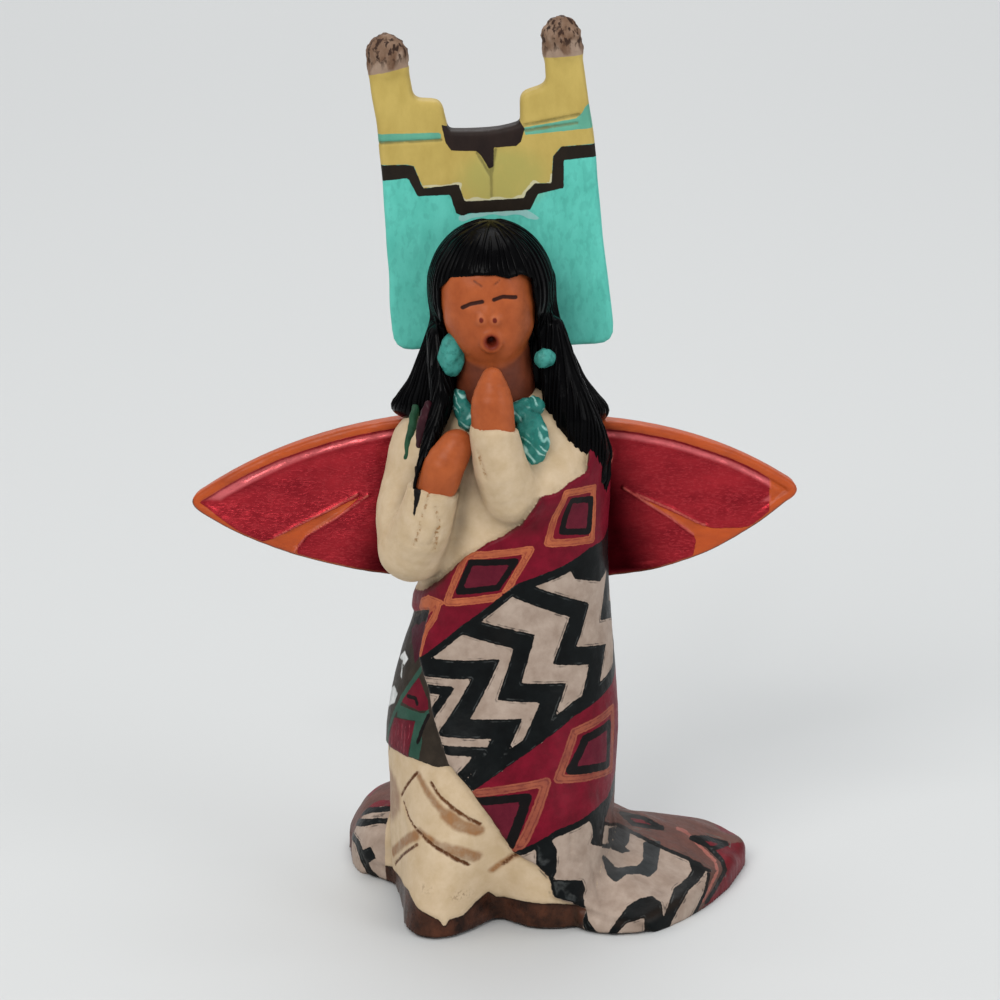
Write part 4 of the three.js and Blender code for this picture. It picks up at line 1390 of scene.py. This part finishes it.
# %% Making hair and strands
hair_corners = ((-19, -14, 56), (18, 17, 104))
hair_coats = [coat("", (3, 3, 4), (6, 6, 7), 0.2)]
hair_material = painted("painted_hair", hair_coats, (2, 2, 2), 0.4, gloss=0.045, bump=0.3)
hair_points = sculpt("hair", hair_form, hair_form, lambda points: {}, hair_corners, 0.34, hair_material)
buried = (face_form(hair_points) < 0.3) | (board_form(hair_points) < 0.2) | (robe_form(hair_points) < 0.1)
open_points = hair_points[~buried]
random = np.random.default_rng(5)
seed_count = 1500
steps_each_way = 34
seeds = open_points[random.choice(len(open_points), seed_count, replace=False)]
combed, running = comb(seeds, steps_each_way)
strands = thin_out(combed, running, strand_pitch)
print("strands:", len(strands), "points:", sum(len(s) for s in strands))

# %% [markdown]
# ## Thickness from Geometry Nodes
#
# The lines are still bare edges. Sweeping a small six-sided circle along each one is a rule that
# is the same for all of them, which is what Geometry Nodes are for: change one radius and the
# whole head of hair follows. The tree ends in real geometry, and the result is kept as a mesh.

# %% Guides for the strands
strand_points, strand_edges, tapers = [], [], []
for line in strands:
    first = len(strand_points)
    ends = np.minimum(np.arange(len(line)), np.arange(len(line))[::-1]) * strand_step
    strand_points.extend((line * mm).tolist())
    tapers.extend(np.clip(0.35 + ends / 2.0, 0, 1).tolist())
    strand_edges.extend((first + i, first + i + 1) for i in range(len(line) - 1))
guide_mesh = bpy.data.meshes.new("strand_guides")
guide_mesh.from_pydata(strand_points, strand_edges, [])
taper_values = np.array(tapers, dtype=np.float32)
guide_mesh.attributes.new("taper", "FLOAT", "POINT").data.foreach_set("value", taper_values)
guides = bpy.data.objects.new("strand_guides", guide_mesh)
bpy.context.collection.objects.link(guides)

# %% The tree of nodes
tree = bpy.data.node_groups.new("combed_strands", "GeometryNodeTree")
tree.interface.new_socket("Geometry", in_out="INPUT", socket_type="NodeSocketGeometry")
radius_socket = tree.interface.new_socket("Strand radius", in_out="INPUT", socket_type="NodeSocketFloat")
sides_socket = tree.interface.new_socket("Sides", in_out="INPUT", socket_type="NodeSocketInt")
paint_socket = tree.interface.new_socket("Paint", in_out="INPUT", socket_type="NodeSocketMaterial")
tree.interface.new_socket("Geometry", in_out="OUTPUT", socket_type="NodeSocketGeometry")
given = add_node(tree, "NodeGroupInput").outputs
curves = add_node(tree, "GeometryNodeMeshToCurve", {"Mesh": given["Geometry"]}).outputs[0]
taper = add_node(tree, "GeometryNodeInputNamedAttribute", {"Name": "taper"},
                 data_type="FLOAT").outputs["Attribute"]
sized = add_node(tree, "GeometryNodeSetCurveRadius", {"Curve": curves, "Radius": taper}).outputs[0]
circle = add_node(tree, "GeometryNodeCurvePrimitiveCircle", mode="RADIUS")
tree.links.new(given["Sides"], circle.inputs["Resolution"])
tree.links.new(given["Strand radius"], circle.inputs["Radius"])
rolls = add_node(tree, "GeometryNodeCurveToMesh", {"Curve": sized,
                                                   "Profile Curve": circle.outputs["Curve"]})
rolls.inputs["Fill Caps"].default_value = True
if "Scale" in rolls.inputs:
    tree.links.new(taper, rolls.inputs["Scale"])
smooth = add_node(tree, "GeometryNodeSetShadeSmooth", {"Geometry": rolls.outputs[0]}).outputs[0]
real = add_node(tree, "GeometryNodeRealizeInstances", {"Geometry": smooth}).outputs[0]
coated = add_node(tree, "GeometryNodeSetMaterial", {"Geometry": real,
                                                    "Material": given["Paint"]}).outputs[0]
ending = tree.nodes.new("NodeGroupOutput")
tree.links.new(coated, ending.inputs["Geometry"])

# %% Strands as a plain mesh
strand_modifier = guides.modifiers.new("combed_strands", "NODES")
strand_modifier.node_group = tree
strand_modifier[radius_socket.identifier] = strand_radius * mm
strand_modifier[sides_socket.identifier] = strand_sides
strand_modifier[paint_socket.identifier] = hair_material
shaped = guides.evaluated_get(bpy.context.evaluated_depsgraph_get())
strand_mesh = bpy.data.meshes.new_from_object(shaped)
hair_strands = bpy.data.objects.new("hair_strands", strand_mesh)
bpy.context.collection.objects.link(hair_strands)
guides.modifiers.remove(strand_modifier)
bpy.data.objects.remove(guides)
if not strand_mesh.materials:
    strand_mesh.materials.append(hair_material)
belongs_to_figure(hair_strands)
print("hair_strands has", sum(len(face.vertices) - 2 for face in strand_mesh.polygons), "triangles")

# %% [markdown]
# ## The stepped headdress
#
# A flat board stands behind the head, cut in steps to two horns. It is turquoise below and yellow
# above, with a stepped black line between, and the two ends are sponged brown. The board's form
# was needed for the hair, so only its paint is left: outlines drawn on its flat face, as a
# painter would with a ruler, and a pale edge where the brush passed over the line.

# %% Paint on the headdress
step_upper = [(-20, 32.5), (-10.6, 31.8), (-9.5, 31.5), (-8.5, 28.1), (-3.3, 28.2), (-2.7, 25.6),
              (5.9, 25.3), (6.3, 26.1), (7.7, 27.3), (10.1, 27.1), (10.7, 31.0), (12.0, 32.3), (20, 32.2)]
step_lower = [(-20, 29.6), (-10.5, 29.8), (-9.4, 27.0), (-4.7, 26.8), (-4.1, 24.0), (-3.2, 23.5),
              (-2.2, 23.8), (6.7, 23.5), (8.0, 25.7), (11.8, 26.2), (12.2, 30.3), (20, 30.4)]
notch_band = [(-4.9, 37.1), (-3.9, 36.7), (0, 36.9), (3.3, 36.9), (6.2, 36.9), (7.0, 35.4), (6.3, 33.6),
              (5.5, 33.0), (2.3, 33.1), (2.0, 30.3), (1.3, 30.0), (0.5, 31.8), (-0.2, 32.8), (-3.9, 33.2),
              (-4.6, 34.5)]
left_stripe = [(-20, 37.0), (-5.1, 36.0), (-5.2, 35.0), (-20, 35.4)]
right_stripe = [(6.9, 35.6), (14.6, 36.2), (15.4, 36.9), (16.2, 38.0), (20, 39), (20, 34.6), (6.9, 34.5)]
# A painted highlight: a pale band on the turquoise just above the hair.
highlight_above_hair = [(-3.3, 23.1), (1.5, 23.7), (5.5, 23.2), (8.6, 21.6)]


def board_paint(points):
    x, y, z = on_head(points).T
    behind = y - board_middle
    edge = 0.25 * ripple(points, 3.0, 17)
    yellow = -outline_distance(x, z, step_upper + [(20, 60), (-20, 60)])
    band = -outline_distance(x, z, step_upper + step_lower[::-1])
    notch = np.minimum(-outline_distance(x, z, notch_band), -behind + 1.4)
    stripes = np.maximum(-outline_distance(x, z, left_stripe), -outline_distance(x, z, right_stripe))
    scratches = nearest_line(x, z, board_scratches)
    knob_edge = np.interp(x, [-14.9, -9.3, 10.6, 16.0], [45.2, 45.9, 45.4, 45.3])
    browner = 0.5 * ripple(points, 2.0, 23) + 0.4 * (z - knob_edge - 1.2)
    return {
        "yellow": yellow, "green": np.minimum(4.2 - np.hypot((x - 3.2) * 0.7, z - 28.5), -behind),
        "band": band, "notch": notch, "stripes": stripes, "scratch": np.minimum(0.2 - scratches, -behind),
        "pale_edge": np.minimum(np.minimum(0.28 - np.abs(yellow + 0.05 + edge), -behind), 28.5 - z),
        # Painted highlight just above the hair.
        "pale": np.minimum(0.4 - line_distance(x, z, highlight_above_hair) + edge, -behind),
        "knob": z - knob_edge, "brown": np.minimum(browner, z - knob_edge), "pits": z - knob_edge - 1.2,
        "marks": -behind - 1.0,
    }


# %% Making the headdress
board_coats = [
    coat("", (102, 206, 190), (88, 190, 174), 0.45),
    coat("marks", (78, 172, 158), (74, 164, 150), 0.5, 0.4, 0.0, soft=0.3, speckle=0.9),
    # Painted highlight: a pale band above the hair.
    coat("pale", (176, 208, 206), (140, 190, 188), 0.45, 0.9, 0.1),
    coat("yellow", (196, 172, 96), (182, 158, 84), 0.45),
    coat("green", (158, 164, 92), (178, 170, 96), 0.45, 0.7, 0.0, soft=1.6),
    coat("stripes", (104, 176, 150), (92, 160, 138), 0.45),
    coat("scratch", (112, 106, 60), (130, 122, 70), 0.5, 0.8, 0.0, soft=0.12),
    coat("pale_edge", (216, 216, 192), (196, 190, 150), 0.45, 0.9, 0.2),
    coat("band", (26, 20, 14), (36, 28, 20), 0.5),
    coat("notch", (32, 22, 20), (42, 30, 26), 0.5),
    coat("knob", (168, 146, 128), (146, 122, 104), 0.6),
    coat("brown", (122, 92, 70), (98, 70, 52), 0.6, 0.9, 0.1, soft=0.4),
    coat("pits", (44, 28, 21), (62, 42, 32), 0.6, 1.0, 0.0, soft=1.2, speckle=0.75),
]
board_corners = ((-22, 5, 78), (20, 14, 131))
board_material = painted("painted_headdress", board_coats, (60, 60, 50), 0.25, stretch=(1, 1, 0.5))
sculpt("headdress", carved_board, board_form, board_paint, board_corners, 0.36, board_material)

# %% [markdown]
# ## Wings
#
# Each wing is a pointed leaf with a raised orange rim around a sunk field of metallic red. A double
# line runs from the root towards the lower edge, as the mid rib of a leaf does. The leaf is an
# outline with a thickness, and the distance to that outline gives the rim, the sunk field and
# the edge of the paint at once.

# %% The leaf outline and its solid
wing_root = 11.0
wing_front = 4.4
wing_thickness = 3.4
wing_sweep = math.radians(6)
root_foot = 47
bow_share = 0.55
tip_length = 1.6
tip_half = 1.8
rim_depth = 0.55
vein_depth = 0.22
front_layer = 1.7
wing_forms = {
    -1: {"top_root": 71.8, "reach": 46.0, "tip": 57.6, "top_bow": 69.2, "bottom_bow": 47.4},
    1: {"top_root": 71.4, "reach": 44.3, "tip": 59.6, "top_bow": 70.2, "bottom_bow": 46.2},
}
wing_veins = {
    -1: [[(33.6, 52.6), (29.5, 54.9), (25.1, 57.1), (21.2, 59.5)],
         [(30.6, 50.6), (28.8, 53.1), (24.3, 55.9), (19.6, 59.4)]],
    1: [[(30.6, 54.6), (29.5, 55.0), (25.3, 57.2), (20.0, 59.7)],
        [(28.8, 53.2), (25.3, 55.9), (21.8, 58.2), (18.3, 60.6)],
        [(15.4, 69.5), (16.6, 65.8), (15.9, 62.2), (15.6, 56.7), (15.8, 48)]],
}
orange_wedges = {
    -1: [(36.5, 51.6), (33.8, 52.4), (29.5, 54.7), (25.1, 56.9), (20.4, 59.4), (24.3, 55.9), (28.8, 53.1),
         (30.1, 51.6), (30.4, 48)],
    1: [(40.1, 62), (40.1, 55.9), (38.9, 54.5), (35.7, 54.0), (31.6, 54.1), (29.5, 54.8), (25.3, 56.9),
        (20.0, 59.4), (25.3, 56.1), (28.8, 53.2), (29.2, 52.2), (28.0, 47), (50, 47), (50, 62)],
}


def quadratic(start, bend, end, steps=14):
    t = np.linspace(0, 1, steps + 1)[:-1, None]
    return (1 - t) ** 2 * np.array(start) + 2 * t * (1 - t) * np.array(bend) + t ** 2 * np.array(end)


def leaf(top_root, reach, tip, top_bow, bottom_bow):
    """The outline of a wing: two bowed edges and a rounded tip."""
    bow = wing_root + bow_share * (reach - wing_root)
    near_tip = reach - tip_length
    above, below = (near_tip, tip + tip_half), (near_tip, tip - tip_half)
    return np.concatenate([
        [(wing_root, root_foot)],
        quadratic((wing_root, top_root), (bow, top_bow), above),
        quadratic(above, (reach, tip + tip_half / 2), (reach, tip), 4),
        quadratic((reach, tip), (reach, tip - tip_half / 2), below, 4),
        quadratic(below, (bow, bottom_bow), (wing_root, root_foot)),
    ])


leaves = {side: leaf(**form) for side, form in wing_forms.items()}
print("the wings reach", [form["reach"] for form in wing_forms.values()], "mm to the sides")


def in_wing(points, side):
    """Distance along the wing, depth behind its front, and height."""
    x = points[:, 0] * side - wing_root
    y = points[:, 1] - wing_front
    out = x * math.cos(wing_sweep) + y * math.sin(wing_sweep) + wing_root
    deep = y * math.cos(wing_sweep) - x * math.sin(wing_sweep)
    return out, deep, points[:, 2]


def wing_plain(points, side):
    out, deep, height = in_wing(points, side)
    edge = outline_distance(out, height, leaves[side])
    sunk = rim_depth * fade(1.0, 1.75, -edge) * (0.25 + 0.75 * fade(54, 60, height))
    ridge = 0.3 * np.exp(-((edge + 2.4) / 0.6) ** 2) * fade(56, 61, height)
    swell = 0.12 * ripple(points, 9.0, 40 + side) + 0.04 * ripple(points, 2.5, 44 + side)
    return smooth_max(edge, np.maximum(sunk - ridge - deep + swell, deep - wing_thickness), 0.8)


def wing_form(points):
    return np.minimum(wing_plain(points, -1), wing_plain(points, 1))


def carved_wing(points):
    best = wing_form(points)
    for side in (-1, 1):
        out, deep, height = in_wing(points, side)
        veins = nearest_line(out, height, wing_veins[side])
        best = best - vein_depth * fade(0.42, 0.1, veins) * (deep < front_layer) * (out > 0)
    return best


def wing_paint(points):
    left = points[:, 0] < 0
    fields = {}
    for side, mine in ((-1, left), (1, ~left)):
        out, deep, height = in_wing(points, side)
        edge = outline_distance(out, height, leaves[side])
        top = fade(0, 4, height - 58)
        red = -edge - 0.45 - 0.75 * top - 0.8 * fade(38, 44, out)
        red = np.minimum(red, outline_distance(out, height, orange_wedges[side]))
        red = np.where(deep < front_layer, red, -edge - 1.6)
        veins = nearest_line(out, height, wing_veins[side])
        rear_edge = np.minimum(edge + 0.5, deep - 2.7)
        low_edge = np.minimum(edge + 0.25, 58 - height)
        # A painted highlight: a pale pink band just inside the rim along the top of the red.
        highlight_band = 0.35 - np.abs(edge + 2.0) + (0.25 if side < 0 else 0) * fade(28, 36, out)
        # The deep coat is painted shade at the wing roots, under the hair.
        root = (20.0 if side < 0 else 22.5) - out - 0.3 * (height - 50)
        strokes = {"red": red, "rib": shared(0.13 - veins, front_layer - deep),
                   "deep": shared(root, 4 * red + 1.2), "rim_edge": np.maximum(rear_edge, low_edge),
                   "light": shared(highlight_band, red + 0.1, height - 58)}
        for key, value in strokes.items():
            fields.setdefault(key, np.zeros(len(points)))[mine] = value[mine]
    return fields


# %% Making the wings
wing_coats = [
    coat("", (196, 84, 26), (172, 70, 26), 0.4),
    coat("rim_edge", (84, 44, 28), (104, 54, 32), 0.45, 1.0, 0.0, soft=0.15),
    coat("red", (172, 38, 48), (138, 22, 34), 0.36, 1.0, 0.4, 0.7),
    coat("red", (196, 66, 72), (182, 52, 60), 0.34, 0.4, 0.1, 0.7, speckle=0.25),
    # Painted highlight along the top inner edge of the red.
    coat("light", (236, 126, 128), (220, 100, 106), 0.32, 0.95, 0.1, 0.6, soft=0.35),
    # Painted shade: the red goes nearly black towards the wing root.
    coat("deep", (54, 3, 8), (38, 2, 5), 0.5, 1.0, 0.0, 1.0, soft=4.5),
    # Pale pink along the ribs: partly the ribs' own paint, partly painted highlight on their edges.
    coat("rib", (224, 130, 112), (176, 66, 60), 0.34, 0.9, 0.2, 0.3, soft=0.12),
]
wing_material = painted("painted_wings", wing_coats, (50, 8, 12), 0.6, gloss=0.3, bump=1.3,
                        stretch=(0.35, 1, 1))
wing_corners = {"left_wing": ((-48, 2, 44), (-9, 14, 75)), "right_wing": ((9, 2, 44), (46, 14, 75))}
for name, corners in wing_corners.items():
    sculpt(name, carved_wing, wing_form, wing_paint, corners, 0.28, wing_material, 1.0)

# %% [markdown]
# ## Turquoise and feathers
#
# Earrings, beads at the neck and a pendant are rough turquoise lumps with pale brush strokes. Two
# small feathers, one green and one maroon, lie on the left shoulder. They are too small for
# outlines: plain lumps and limbs with a little unevenness look like pinched clay.

# %% Lumps and limbs
earrings = [((-6.9, -6.8, 83.7), (1.9, 1.6, 3.1)), ((6.4, -6.2, 83.2), (1.5, 1.6, 1.4))]
left_beads = ([(-6.0, -6.6, 77.4), (-4.6, -8.6, 74.6)], (1.3, 1.5))
right_beads = ([(2.4, -9.2, 75.8), (4.9, -7.8, 76.4)], (1.7, 1.5))
pendant_lump = ((4.4, -10.2, 72.2), (2.6, 1.6, 4.2))
green_feather = ([(-12.3, -4.6, 75.6), (-12.9, -5.0, 71.8), (-13.5, -6.0, 68.2)], (0.5, 0.7, 0.4))
maroon_feather = ([(-10.3, -8.4, 76.8), (-11.0, -8.6, 73.9), (-11.5, -8.4, 71.0)], (0.6, 0.9, 0.5))


def jewel_form(points):
    parts = [lump(points, *form) for form in earrings + [pendant_lump]]
    parts += [limb(points, *form) for form in (left_beads, right_beads, green_feather, maroon_feather)]
    return np.minimum.reduce(parts) + 0.1 * ripple(points, 2.0, 51) + 0.06 * ripple(points, 1.0, 52)


def jewel_paint(points):
    slanted = points @ (0.75, 0.0, 0.65) + 0.35 * ripple(points, 3.0, 53)
    strokes = 0.15 - np.abs(slanted % 1.05 - 0.52)
    below_earrings = 80 - points[:, 2]
    green = 0.6 - limb(points, *green_feather)
    maroon = 0.6 - limb(points, *maroon_feather)
    strokes = shared(strokes, 0.3 * ripple(points, 3.4, 54) + 0.06, below_earrings, -green, -maroon)
    return {"dark": below_earrings, "blots": np.ones(len(points)), "strokes": strokes, "green": green,
            "maroon": maroon}


jewel_coats = [
    coat("", (74, 158, 148), (50, 130, 120), 0.45),
    coat("dark", (26, 100, 92), (38, 120, 110), 0.42, 0.95, soft=0.3),
    coat("blots", (34, 108, 100), (28, 92, 86), 0.45, 0.6, 0.0, soft=0.3, speckle=0.9),
    coat("strokes", (176, 216, 208), (120, 186, 176), 0.45, 1.0, 0.4, soft=0.1),
    coat("green", (30, 66, 46), (44, 88, 62), 0.42),
    coat("maroon", (62, 20, 32), (46, 16, 24), 0.42),
]
jewel_corners = ((-16, -13.5, 66), (10, -1, 89))
jewel_material = painted("painted_turquoise", jewel_coats, (30, 50, 46), 0.4)
sculpt("turquoise_jewellery", jewel_form, jewel_form, jewel_paint, jewel_corners, 0.24, jewel_material, 0.8)
